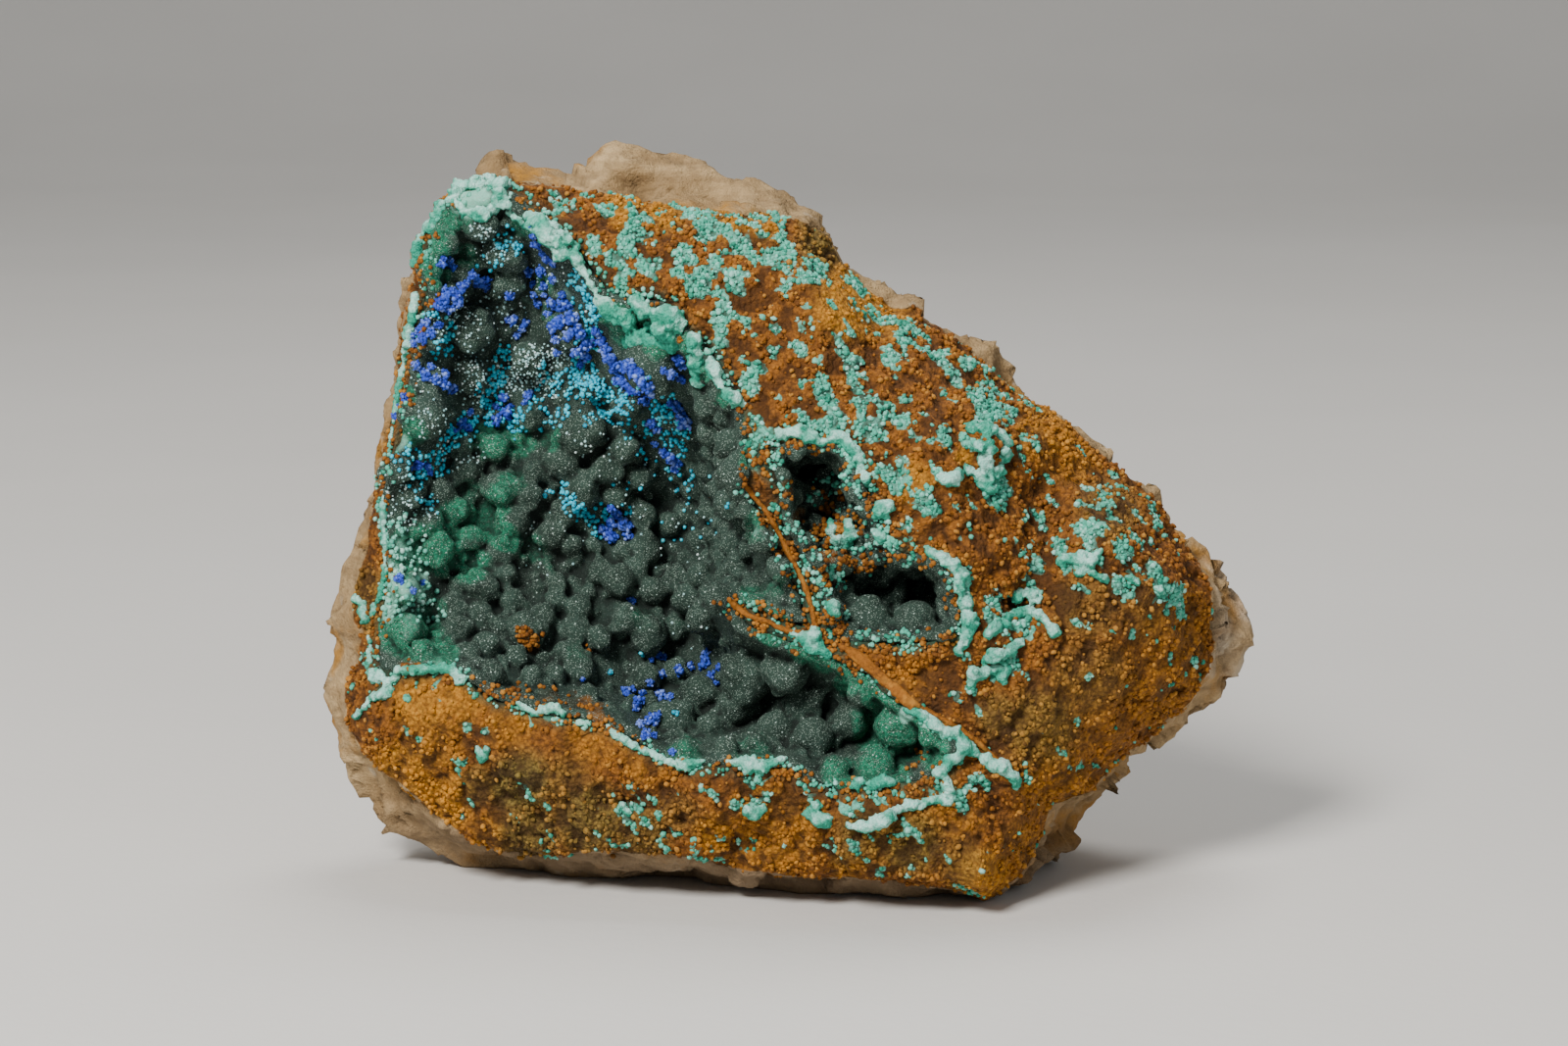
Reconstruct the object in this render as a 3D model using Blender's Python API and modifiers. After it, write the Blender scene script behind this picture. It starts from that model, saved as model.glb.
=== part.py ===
"""A cabinet mineral specimen, standing on its broken base.

A block of pale tan host rock carries a rusty limonite skin on its front. Two
hollows open in that skin, and each is lined with one lumpy, botryoidal crust.

All forms are laid out in a front view: u to the right, v up and w towards the
viewer. Places in that view are read in picture points, 1600 wide and 1067 high,
and written as (across, down). Depths are in millimetres along w. At the end
every mesh is turned into the world frame, +Z up, and cut flat at its foot.
"""
import math

import bmesh
import bpy
import numpy as np
from mathutils import Vector, noise

MM = 0.001

# Driving dimensions
LENGTH = 0.120
SPAN_POINTS = 939.0
EDGE_DEPTH = -15.0 * MM
SIGHT = 0.5556
LEAN = math.radians(10.0)
VIEW_CENTRE = (800.0, 533.5)
FOOT = (828.0, 920.0, -3.0)
GAP = 0.35 * MM
LEAST_GAP = 0.2 * MM
CRUST_THICKNESS = 1.7 * MM
RIM_STAND = 0.5 * MM
CRUST_REACH_BACK = 6.0 * MM
LEAST_CRUST_DEPTH = 3.0 * MM
BOWL_RADIUS = 6.0 * MM
MOUTH_REACH = 9.0 * MM

# One picture point at depth zero, from the length over the outline's span
PITCH = LENGTH / SPAN_POINTS / (1.0 - EDGE_DEPTH / SIGHT)

# Block: how its back draws in and how its edges are rounded
BACK_DRAW_U = 0.13
BACK_DRAW_V = 0.16
BACK_DRAW_POWER = 1.5
DRAW_CENTRE = (820.0, 905.0)
FRONT_EDGE_RADIUS = 5.0 * MM
FRONT_EDGE_DROP = 4.0 * MM
BACK_EDGE_RADIUS = 10.0 * MM
BACK_EDGE_DROP = 8.0 * MM
SKIN_EDGE_RADIUS = 2.5 * MM
SKIN_EDGE_DROP = 1.5 * MM
SKIN_EDGE_SLOPE = 4.0

# Flat broken faces round the back and sides: direction out of the block in (u, v, w)
# and distance in mm from the middle
BLOCK_MIDDLE = (0.0, -2.0, -20.0)
BROKEN_FACES = (
    ((0.05, 0.10, -1.00), 24.0), ((-0.42, 0.12, -0.90), 27.5), ((0.45, 0.05, -0.88), 28.0),
    ((-0.05, 0.52, -0.84), 29.0), ((0.15, -0.30, -0.95), 26.0), ((-0.72, 0.30, -0.60), 44.0),
    ((0.70, 0.42, -0.56), 38.0), ((0.35, 0.80, -0.45), 39.0), ((-0.45, 0.82, -0.36), 51.5),
    ((0.86, -0.20, -0.45), 52.0), ((-0.88, -0.22, -0.40), 53.0), ((0.62, -0.62, -0.48), 46.0),
    ((0.25, 0.62, -0.74), 34.0), ((-0.62, -0.30, -0.72), 42.0),
)
BROKEN_START = 0.05
BROKEN_RAMP = 0.30

# Relief of the surfaces
HUMP_HEIGHT = 1.8 * MM
HUMP_LENGTH = 21.0 * MM
HUMP_SEED = 11.3
WAVE_HEIGHT = 1.4 * MM
WAVE_LENGTH = 7.5 * MM
WAVE_SEED = 3.7
WAVE_OCTAVES = 3
OCTAVE_SPACING = 2.0
OCTAVE_FADE = 0.9

# Mesh fineness
PRISM_HALF = 12.0 * MM
BLOCK_VOXEL = 1.6 * MM
HOLLOW_VOXEL = 0.9 * MM
CRUST_VOXEL = 0.85 * MM
BLOCK_RATIO = 0.18
HOLLOW_RATIO = 0.018
CRUST_RATIO = 0.078
SIDE_CRUST_RATIO = 0.06
BALL_SUBDIVISIONS = 3
WELD_DISTANCE = 0.01 * MM
SHARP_ANGLE = math.radians(40.0)

# Bending that a depth sheet may leave out to stay smooth, and the least length divided by
SHEET_SMOOTHING = 2e-6
LEAST_LENGTH = 1e-9

# Share of a crust prism's depth that its front and its back face take up flat
CRUST_FLAT_SHARE = 0.125

# Width, depth and height of the box that cuts the foot flat
FOOT_CUT = (0.4, 0.4, 0.1)

# Outline of the whole block in the front view, clockwise from the top left
OUTLINE = (
    (475, 180), (510, 169), (600, 179), (612, 160), (630, 149), (671, 153), (709, 160),
    (748, 182), (778, 186), (799, 199), (814, 214), (839, 222), (852, 232), (863, 250),
    (862, 272), (877, 288), (893, 293), (908, 311), (939, 307), (964, 327), (978, 352),
    (1001, 366), (1005, 352), (1019, 357), (1024, 380), (1035, 400), (1065, 412),
    (1100, 445), (1160, 490), (1185, 515), (1202, 545), (1222, 560), (1259, 593),
    (1272, 632), (1272, 683), (1250, 715), (1225, 740), (1180, 765), (1145, 781),
    (1115, 820), (1085, 852), (1060, 868), (1045, 888), (1004, 925), (982, 914),
    (940, 913), (895, 917), (880, 908), (835, 920), (790, 908), (735, 898), (700, 892),
    (640, 896), (600, 896), (578, 905), (558, 891), (515, 893), (470, 881), (440, 868),
    (408, 850), (380, 830), (362, 797), (348, 750), (333, 711), (336, 680), (345, 650),
    (349, 600), (363, 560), (375, 538), (377, 498), (384, 462), (396, 442), (402, 400),
    (407, 350), (410, 308), (420, 282), (421, 246), (434, 218), (455, 205),
)

# Outline of the limonite skin, which stands proud of the tan rock behind it
SKIN_OUTLINE = (
    (436, 222), (455, 198), (478, 188), (535, 188), (620, 197), (653, 206), (697, 208),
    (730, 217), (799, 219), (840, 238), (864, 262), (882, 292), (908, 313), (939, 312),
    (964, 332), (992, 362), (1012, 380), (1036, 402), (1065, 412), (1100, 445),
    (1160, 490), (1187, 515), (1202, 545), (1221, 575), (1233, 600), (1241, 640),
    (1236, 680), (1216, 715), (1182, 747), (1142, 772), (1117, 805), (1072, 822),
    (1064, 852), (1047, 884), (1004, 925), (980, 908), (940, 898), (880, 894),
    (790, 892), (735, 882), (700, 874), (640, 870), (560, 870), (515, 869), (480, 858),
    (458, 838), (430, 815), (395, 790), (372, 766), (356, 737), (352, 700), (356, 650),
    (362, 600), (378, 560), (382, 500), (396, 445), (404, 400), (410, 340), (420, 285),
    (424, 245),
)

# Outline of the main hollow: its mouth runs round the wide upper basin, over a thin
# fin of limonite, and along the lower pocket to the right
VUG_OUTLINE = (
    (434, 262), (438, 240), (449, 216), (464, 199), (482, 193), (510, 190), (531, 196),
    (541, 213), (558, 226), (574, 235), (592, 260), (608, 282), (622, 300), (642, 304),
    (668, 304), (690, 318), (703, 344), (720, 352), (736, 370), (748, 396), (760, 410),
    (762, 440), (765, 470), (757, 496), (776, 526), (794, 562), (811, 596), (819, 622),
    (823, 638), (806, 636), (784, 625), (763, 617), (745, 609), (740, 617), (760, 637),
    (783, 646), (808, 656), (838, 664), (862, 676), (888, 690), (911, 710), (934, 724),
    (960, 742), (984, 758), (976, 773), (958, 789), (940, 799), (915, 803), (880, 806),
    (850, 805), (826, 797), (806, 783), (770, 783), (740, 781), (715, 785), (695, 782),
    (670, 770), (645, 755), (622, 741), (600, 737), (575, 733), (555, 728), (530, 721),
    (505, 714), (488, 702), (478, 690), (460, 683), (430, 683), (405, 689), (387, 712),
    (380, 690), (382, 660), (384, 640), (392, 615), (396, 590), (393, 560), (391, 530),
    (389, 500), (395, 478), (402, 462), (410, 448), (411, 420), (414, 398), (420, 378),
    (424, 350), (431, 322), (439, 305), (435, 285),
)

# Outline of the side hollow, right of the long thin fin
SIDE_OUTLINE = (
    (785, 462), (797, 450), (830, 448), (858, 450), (872, 470), (880, 494), (893, 514),
    (905, 545), (922, 564), (950, 564), (971, 583), (977, 610), (984, 632), (974, 654),
    (940, 656), (900, 656), (856, 656), (845, 640), (839, 612), (829, 586), (813, 560),
    (797, 530), (796, 500), (788, 482),
)

# Readings of depth: (across, down, depth in mm)
SKIN_DEPTHS = (
    # Top edge and the long right shoulder, where the skin turns back to the block
    (440, 222, -9), (470, 192, -9), (540, 192, -9), (620, 203, -9), (700, 212, -8),
    (800, 222, -9), (860, 262, -12), (905, 312, -12), (960, 332, -12), (1035, 402, -10),
    (1100, 445, -10), (1185, 515, -10), (1235, 620, -12), (1230, 690, -12),
    (1180, 745, -11), (1110, 805, -8), (1060, 850, -6),
    # Slope above the main hollow, down to its lip
    (600, 250, -3), (700, 270, 0), (780, 280, 0), (850, 296, 1), (910, 340, -3),
    (514, 206, -5), (560, 236, -4), (595, 270, -3), (625, 302, -2), (690, 318, 0),
    (735, 370, 3), (762, 410, 5),
    # Crest between the hollows and the right shoulder
    (800, 380, 5), (880, 400, 6), (960, 400, 2), (1015, 430, 3), (820, 430, 8),
    (900, 460, 10), (950, 510, 11), (1010, 480, 7), (1000, 560, 10), (1000, 640, 10),
    # Two grooves, then the bulging right end
    (1062, 440, -2), (1065, 500, -2), (1048, 550, 3), (1130, 540, 4), (1110, 580, 5),
    (1180, 570, 1), (1150, 620, 4), (1100, 660, 5), (1180, 680, -1), (1120, 730, 1),
    (1080, 780, 1),
    # Fins between the hollows, and the ridge over the lower pocket
    (770, 500, 6), (790, 540, 5), (806, 575, 5), (829, 624, 4), (836, 650, 5),
    (785, 634, 4), (748, 614, 2), (880, 672, 5), (960, 710, 8), (1010, 760, 7),
    (1040, 800, 6),
    # Lower lip and the belly under it
    (990, 840, 7), (940, 850, 8), (1004, 895, 7), (1050, 850, 0), (640, 765, 5),
    (720, 795, 7), (800, 800, 8), (880, 825, 9), (560, 755, 3), (490, 725, 1),
    (430, 715, -1), (385, 740, -6), (365, 700, -10), (420, 780, -6), (500, 820, -4),
    (600, 830, 1), (700, 840, 4), (800, 850, 5), (900, 870, 7), (470, 850, -11),
    (560, 865, -6), (650, 868, -2), (750, 882, 1), (850, 893, 3), (950, 900, 4),
    # Narrow left side of the main hollow
    (350, 660, -14), (378, 640, -10), (388, 560, -9), (386, 500, -8), (405, 420, -8),
    (415, 340, -8), (426, 270, -9),
)
ROCK_DEPTHS = (
    (475, 180, -15), (600, 178, -15), (660, 155, -16), (750, 190, -15), (850, 235, -16),
    (900, 300, -16), (1000, 367, -15), (1200, 545, -16), (1265, 630, -17),
    (1250, 715, -17), (1145, 780, -14), (1060, 865, -11), (985, 912, -4), (900, 915, -3),
    (828, 920, -3), (700, 892, -7), (600, 895, -12), (515, 893, -16), (440, 867, -17),
    (380, 830, -17), (340, 720, -17), (345, 620, -16), (380, 500, -12), (405, 400, -12),
    (430, 245, -12), (700, 500, -15),
)
BACK_DEPTHS = (
    (475, 180, -33), (660, 150, -36), (860, 240, -34), (1000, 360, -33), (1200, 540, -31),
    (1270, 650, -30), (1150, 780, -34), (1040, 890, -39), (830, 920, -45),
    (600, 900, -44), (400, 845, -38), (335, 710, -32), (380, 500, -31), (420, 280, -31),
    (700, 560, -46), (540, 420, -41), (900, 500, -42), (1050, 650, -41),
)
VUG_DEPTHS = (
    # Upper basin, from the top left corner to the deep right end
    (460, 230, -12), (500, 215, -11), (437, 262, -12), (520, 260, -17), (560, 290, -16),
    (600, 320, -13), (660, 350, -8), (700, 370, -7), (640, 400, -15), (700, 430, -16),
    (745, 440, -8), (470, 330, -18), (430, 350, -14), (430, 430, -14), (480, 420, -20),
    (540, 380, -22), (600, 400, -19), (400, 480, -11), (450, 500, -17), (520, 480, -20),
    (600, 480, -21), (660, 480, -23), (710, 500, -26), (750, 540, -19), (780, 580, -13),
    (730, 600, -22), (800, 620, -8), (410, 560, -12), (470, 560, -18), (540, 560, -21),
    (620, 560, -23), (680, 560, -26), (400, 640, -11), (450, 640, -15), (520, 640, -17),
    (600, 640, -19), (660, 620, -22), (720, 640, -24), (480, 690, -8), (530, 700, -12),
    (590, 710, -14),
    # Lower pocket, rising to its right end
    (640, 720, -18), (680, 740, -16), (660, 690, -21), (720, 700, -17), (760, 690, -13),
    (800, 680, -10), (760, 740, -11), (820, 740, -8), (870, 720, -8), (900, 760, -5),
    (850, 780, -4), (930, 745, -3), (960, 755, 0), (700, 765, -9), (850, 690, -6),
)
SIDE_DEPTHS = (
    (825, 470, -20), (800, 470, -17), (850, 500, -13), (840, 530, -10), (862, 560, -6),
    (897, 530, -10), (850, 590, -5), (880, 600, -7), (945, 590, -18), (915, 620, -11),
    (870, 640, -6), (940, 640, -10), (970, 630, -6), (830, 560, -7),
)

# Swellings and dents of the limonite: (across, down, radius in points, height in mm)
SKIN_SWELLS = (
    (850, 296, 28, 1.6), (1130, 545, 45, 1.5), (1007, 453, 16, 2.0), (972, 489, 12, 1.4),
    (1004, 893, 30, 1.2), (516, 808, 15, -2.6), (546, 824, 14, -2.2), (765, 850, 20, -3.6),
    (1040, 617, 20, -4.0), (925, 680, 20, -2.2), (1010, 815, 20, -2.6), (640, 815, 14, -2.0),
    (450, 745, 30, 1.2), (590, 850, 22, 1.2), (720, 810, 25, 1.0), (898, 519, 12, 1.4),
    (680, 325, 16, 1.0), (1012, 504, 14, 1.2), (960, 800, 16, 1.0), (1165, 600, 22, 1.0),
)

# Lumps of the main crust: (across, down, radius in points)
VUG_LUMPS = (
    # Pale rim along the top and the right lip
    (470, 207, 13), (488, 202, 15), (507, 198, 13), (526, 212, 11), (558, 238, 13),
    (577, 256, 13), (600, 287, 9), (640, 322, 15), (675, 328, 17), (705, 352, 10),
    (726, 380, 13), (747, 405, 9),
    # Top left corner and the left wall
    (490, 228, 19), (452, 246, 16), (438, 272, 15), (514, 255, 23), (521, 286, 17),
    (470, 280, 15), (481, 334, 24), (460, 302, 13), (478, 383, 18), (440, 345, 13),
    (432, 426, 24), (440, 388, 15), (404, 478, 16), (417, 506, 14), (470, 455, 13),
    # Middle
    (580, 335, 22), (540, 365, 19), (664, 372, 30), (605, 390, 15), (640, 415, 16),
    (685, 425, 15), (540, 425, 16), (505, 457, 15), (590, 438, 27), (573, 470, 19),
    (545, 480, 13), (537, 505, 16), (522, 530, 18), (510, 498, 19), (474, 478, 15),
    (450, 502, 14), (437, 531, 16), (466, 520, 14), (447, 560, 18), (480, 548, 14),
    (592, 502, 20), (574, 526, 15), (618, 478, 17), (638, 458, 16), (652, 487, 14),
    (628, 503, 14), (656, 526, 15), (683, 535, 13), (658, 560, 18), (636, 562, 11),
    (562, 545, 16), (582, 556, 12), (512, 560, 16), (496, 572, 10), (516, 584, 12),
    (490, 598, 18), (468, 598, 12), (520, 612, 12), (567, 594, 12), (567, 612, 12),
    (590, 620, 14), (588, 645, 13), (612, 583, 13), (631, 592, 18), (649, 580, 13),
    (666, 602, 15), (691, 592, 15), (716, 588, 14), (702, 610, 17), (733, 607, 13),
    (717, 630, 17), (640, 632, 17), (662, 648, 20), (690, 640, 13), (611, 650, 14),
    # Lower left
    (535, 642, 20), (552, 629, 14), (490, 627, 14), (508, 641, 12), (460, 622, 15),
    (466, 642, 16), (495, 657, 14), (480, 668, 12), (526, 671, 13), (500, 686, 14),
    (543, 692, 12), (590, 682, 17), (566, 690, 12), (575, 665, 12), (415, 642, 18),
    (412, 600, 15), (432, 665, 13), (600, 710, 11),
    # Right end, beside the long fin
    (722, 415, 15), (727, 440, 16), (747, 452, 16), (748, 485, 15), (744, 512, 16),
    (750, 554, 15), (778, 552, 13), (755, 578, 16), (795, 580, 13), (768, 600, 13),
    (796, 612, 12),
    # Lower pocket
    (660, 690, 15), (690, 684, 14), (713, 706, 19), (686, 736, 24), (660, 722, 14),
    (744, 734, 12), (726, 742, 14), (762, 690, 28), (802, 684, 24), (752, 718, 20),
    (790, 746, 20), (830, 752, 21), (820, 718, 20), (868, 736, 20), (770, 766, 14),
    (697, 766, 14), (740, 766, 12), (850, 786, 15), (892, 782, 22), (915, 742, 22),
    (880, 705, 14), (948, 752, 11), (968, 762, 9),
)

# Lumps of the side crust
SIDE_LUMPS = (
    (858, 543, 15), (826, 508, 17), (846, 488, 15), (830, 535, 12), (852, 578, 14),
    (880, 574, 15), (897, 590, 11), (886, 632, 23), (914, 604, 14), (935, 637, 22),
    (852, 620, 10), (835, 570, 10), (873, 500, 10), (962, 645, 10), (958, 575, 9),
    (812, 462, 9), (884, 520, 9),
)
LUMP_RISE = 0.35
LUMP_LIFTS = {(858, 543): 2.2, (852, 578): 0.8, (880, 574): 0.7}


def at_view(across, down):
    """Place in the front view, in metres from its centre."""
    return (across - VIEW_CENTRE[0]) * PITCH, (VIEW_CENTRE[1] - down) * PITCH


def view_array(readings):
    """Places of readings in the front view, one row each."""
    return np.array([at_view(row[0], row[1]) for row in readings])


def to_world(points):
    """Turn view points (u, v, w) into the world frame, foot at Z zero."""
    spread = 1.0 - points[:, 2] / SIGHT
    across = points[:, 0] * spread
    up = points[:, 1] * spread
    depth = points[:, 2]
    back = up * math.sin(LEAN) - depth * math.cos(LEAN)
    height = up * math.cos(LEAN) + depth * math.sin(LEAN)
    return np.column_stack((across, back, height))


def foot_height():
    """World height of the point the block stands on, before it is set to zero."""
    across, up = at_view(FOOT[0], FOOT[1])
    return to_world(np.array([[across, up, FOOT[2] * MM]]))[0, 2]


def spline_kernel(gaps):
    """Thin-plate kernel of distances."""
    safe = np.maximum(gaps, LEAST_LENGTH)
    return safe * safe * np.log(safe)


def depth_sheet(readings):
    """Smooth sheet through depth readings, as a function of view places."""
    places = view_array(readings)
    depths = np.array([row[2] * MM for row in readings])
    count = len(places)
    gaps = np.linalg.norm(places[:, None] - places[None, :], axis=2)
    system = np.zeros((count + 3, count + 3))
    system[:count, :count] = spline_kernel(gaps) + np.eye(count) * SHEET_SMOOTHING
    plane = np.column_stack((np.ones(count), places))
    system[:count, count:] = plane
    system[count:, :count] = plane.T
    weights = np.linalg.solve(system, np.append(depths, np.zeros(3)))

    def sheet(spots):
        reach = np.linalg.norm(spots[:, None] - places[None, :], axis=2)
        tilt = weights[count] + spots @ weights[count + 1:]
        return spline_kernel(reach) @ weights[:count] + tilt

    return sheet


def inset(spots, outline):
    """Distance of spots to an outline, positive inside it."""
    corners = view_array(outline)
    best = np.full(len(spots), np.inf)
    inside = np.zeros(len(spots), dtype=bool)
    for start, end in zip(corners, np.roll(corners, -1, axis=0)):
        run = end - start
        along = np.clip((spots - start) @ run / (run @ run), 0.0, 1.0)
        gap = np.linalg.norm(spots - start - along[:, None] * run, axis=1)
        best = np.minimum(best, gap)
        crosses = (start[1] > spots[:, 1]) != (end[1] > spots[:, 1])
        rise = run[1] if abs(run[1]) > LEAST_LENGTH else LEAST_LENGTH
        meets = start[0] + (spots[:, 1] - start[1]) / rise * run[0]
        inside ^= crosses & (spots[:, 0] < meets)
    return np.where(inside, best, -best)


def quarter_round(inward, radius):
    """Zero at an edge, one at a radius inside it, along a quarter circle."""
    share = np.clip(inward / radius, 0.0, 1.0)
    return np.sqrt(1.0 - (1.0 - share) ** 2)


def swells(spots):
    """Heights of the limonite's swellings and dents."""
    total = np.zeros(len(spots))
    for across, down, radius, height in SKIN_SWELLS:
        gap = np.linalg.norm(spots - np.array(at_view(across, down)), axis=1)
        total += height * MM * np.exp(-(gap / (radius * PITCH)) ** 2)
    return total


SKIN_SHEET = depth_sheet(SKIN_DEPTHS)
ROCK_SHEET = depth_sheet(ROCK_DEPTHS)
BACK_SHEET = depth_sheet(BACK_DEPTHS)


def block_front(spots):
    """Front of the block: the limonite skin, or the tan rock behind its edge."""
    inward = inset(spots, SKIN_OUTLINE)
    drop = SKIN_EDGE_DROP * (1.0 - quarter_round(inward, SKIN_EDGE_RADIUS))
    drop += SKIN_EDGE_SLOPE * np.maximum(-inward, 0.0)
    skin = SKIN_SHEET(spots) + swells(spots) - drop
    edge = 1.0 - quarter_round(inset(spots, OUTLINE), FRONT_EDGE_RADIUS)
    return np.maximum(skin, ROCK_SHEET(spots)) - FRONT_EDGE_DROP * edge


def hollow_floor(spots, outline, sheet, lining):
    """Wall and floor of a hollow, or of the crust that lines it."""
    rim = block_front(spots)
    inward = inset(spots, outline) - lining
    fall = np.minimum(sheet(spots) + lining - rim, 0.0)
    return rim + fall * quarter_round(inward, BOWL_RADIUS)


def coordinates(obj):
    """Vertex places of an object's mesh."""
    flat = np.empty(len(obj.data.vertices) * 3)
    obj.data.vertices.foreach_get("co", flat)
    return flat.reshape(-1, 3)


def normals(obj):
    """Vertex normals of an object's mesh."""
    flat = np.empty(len(obj.data.vertices) * 3)
    obj.data.vertices.foreach_get("normal", flat)
    return flat.reshape(-1, 3)


def set_coordinates(obj, points):
    """Move an object's vertices to new places."""
    obj.data.vertices.foreach_set("co", np.ascontiguousarray(points).ravel())
    obj.data.update()


def new_collection(name):
    """Collection linked to the scene."""
    group = bpy.data.collections.new(name)
    bpy.context.scene.collection.children.link(group)
    return group


def apply_modifiers(obj):
    """Replace an object's mesh by its evaluated one."""
    bpy.context.view_layer.update()
    depsgraph = bpy.context.evaluated_depsgraph_get()
    mesh = bpy.data.meshes.new_from_object(obj.evaluated_get(depsgraph))
    old = obj.data
    obj.modifiers.clear()
    obj.data = mesh
    mesh.name = obj.name
    bpy.data.meshes.remove(old)


def voxel_remesh(obj, size):
    """Even quads over a closed mesh, inner walls dissolved."""
    step = obj.modifiers.new("even", "REMESH")
    step.mode = "VOXEL"
    step.voxel_size = size
    apply_modifiers(obj)


def thin_out(obj, ratio):
    """Fewer faces where the surface is nearly flat."""
    step = obj.modifiers.new("thin", "DECIMATE")
    step.ratio = ratio
    apply_modifiers(obj)


def swell(obj, distance):
    """Push a surface outwards along its normals."""
    step = obj.modifiers.new("swell", "DISPLACE")
    step.mid_level = 0.0
    step.strength = distance
    apply_modifiers(obj)


def boolean(obj, other, operation, solver="EXACT"):
    """Combine an object with another by a Boolean."""
    step = obj.modifiers.new(operation.lower(), "BOOLEAN")
    step.operation = operation
    step.solver = solver
    step.object = other
    apply_modifiers(obj)


def prism(name, outline, group, voxel):
    """Flat slab of an outline in the front view, finely and evenly meshed."""
    curve = bpy.data.curves.new(name, "CURVE")
    curve.dimensions = "2D"
    curve.fill_mode = "BOTH"
    curve.extrude = PRISM_HALF
    spline = curve.splines.new("POLY")
    spline.points.add(len(outline) - 1)
    for point, place in zip(spline.points, outline):
        point.co = (*at_view(*place), 0.0, 1.0)
    spline.use_cyclic_u = True
    drawn = bpy.data.objects.new(name + "_outline", curve)
    group.objects.link(drawn)
    bpy.context.view_layer.update()
    depsgraph = bpy.context.evaluated_depsgraph_get()
    mesh = bpy.data.meshes.new_from_object(drawn.evaluated_get(depsgraph))
    obj = bpy.data.objects.new(name, mesh)
    group.objects.link(obj)
    bpy.data.objects.remove(drawn)
    shape = bmesh.new()
    shape.from_mesh(mesh)
    bmesh.ops.remove_doubles(shape, verts=shape.verts, dist=WELD_DISTANCE)
    bmesh.ops.recalc_face_normals(shape, faces=shape.faces)
    shape.to_mesh(mesh)
    shape.free()
    voxel_remesh(obj, voxel)
    return obj


def back_share(points):
    """Zero on a prism's front face, one on its back face."""
    return np.clip((PRISM_HALF - points[:, 2]) / (2.0 * PRISM_HALF), 0.0, 1.0)


def wave_height(place, length, seed):
    """Rolling relief of a few octaves, about -1 to 1."""
    spot = Vector(place) / length + Vector((seed, seed, seed))
    return noise.fractal(spot, OCTAVE_FADE, OCTAVE_SPACING, WAVE_OCTAVES)


def roughen(obj, hidden):
    """Low waves all over, and broad humps where a face is turned from the front."""
    points = coordinates(obj)
    outward = normals(obj)
    height = np.zeros(len(points))
    for index, place in enumerate(points):
        hump = wave_height(place, HUMP_LENGTH, HUMP_SEED) * hidden[index]
        wave = wave_height(place, WAVE_LENGTH, WAVE_SEED)
        height[index] = HUMP_HEIGHT * hump + WAVE_HEIGHT * wave
    set_coordinates(obj, points + outward * height[:, None])


def break_faces(obj, hidden):
    """Press the hidden side flat against each broken face."""
    points = coordinates(obj)
    middle = np.array(BLOCK_MIDDLE) * MM
    for direction, reach in BROKEN_FACES:
        outward = np.array(direction) / np.linalg.norm(direction)
        excess = np.maximum((points - middle) @ outward - reach * MM, 0.0)
        points -= outward * (excess * hidden)[:, None]
    set_coordinates(obj, points)


def make_block(group):
    """Whole block before its hollows are cut."""
    obj = prism("host_rock", OUTLINE, group, BLOCK_VOXEL)
    points = coordinates(obj)
    spots = points[:, :2]
    share = back_share(points)
    edge = inset(spots, OUTLINE)
    front = block_front(spots)
    back = BACK_SHEET(spots)
    back += BACK_EDGE_DROP * (1.0 - quarter_round(edge, BACK_EDGE_RADIUS))
    depth = front * (1.0 - share) + back * share
    centre = np.array(at_view(*DRAW_CENTRE))
    draw = np.array([BACK_DRAW_U, BACK_DRAW_V]) * (share ** BACK_DRAW_POWER)[:, None]
    drawn = centre + (spots - centre) * (1.0 - draw)
    set_coordinates(obj, np.column_stack((drawn, depth)))
    hidden = np.clip((share - BROKEN_START) / BROKEN_RAMP, 0.0, 1.0)
    break_faces(obj, hidden)
    roughen(obj, hidden)
    thin_out(obj, BLOCK_RATIO)
    return obj


def make_hollow(name, outline, sheet, group):
    """Solid of a hollow's open space, reaching out in front of its mouth."""
    obj = prism(name, outline, group, HOLLOW_VOXEL)
    points = coordinates(obj)
    spots = points[:, :2]
    share = back_share(points)
    mouth = block_front(spots) + MOUTH_REACH
    floor = hollow_floor(spots, outline, sheet, 0.0)
    depth = mouth * (1.0 - share) + floor * share
    set_coordinates(obj, np.column_stack((spots, depth)))
    thin_out(obj, HOLLOW_RATIO)
    return obj


def add_lumps(obj, lumps, outline, sheet):
    """Join a ball to a crust's mesh for each of its lumps."""
    spots = view_array(lumps)
    levels = hollow_floor(spots, outline, sheet, CRUST_THICKNESS)
    shape = bmesh.new()
    shape.from_mesh(obj.data)
    for lump, spot, level in zip(lumps, spots, levels):
        radius = lump[2] * PITCH
        lift = LUMP_LIFTS.get(lump[:2], 0.0) * MM
        made = bmesh.ops.create_icosphere(
            shape, subdivisions=BALL_SUBDIVISIONS, radius=radius)
        centre = Vector((spot[0], spot[1], level + LUMP_RISE * radius + lift))
        bmesh.ops.translate(shape, verts=made["verts"], vec=centre)
    shape.to_mesh(obj.data)
    shape.free()


def grown_copy(obj, name, distance, group):
    """Copy of an object, swollen or shrunk, to cut others with."""
    other = obj.copy()
    other.data = obj.data.copy()
    other.name = name
    group.objects.link(other)
    swell(other, distance)
    return other


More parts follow.
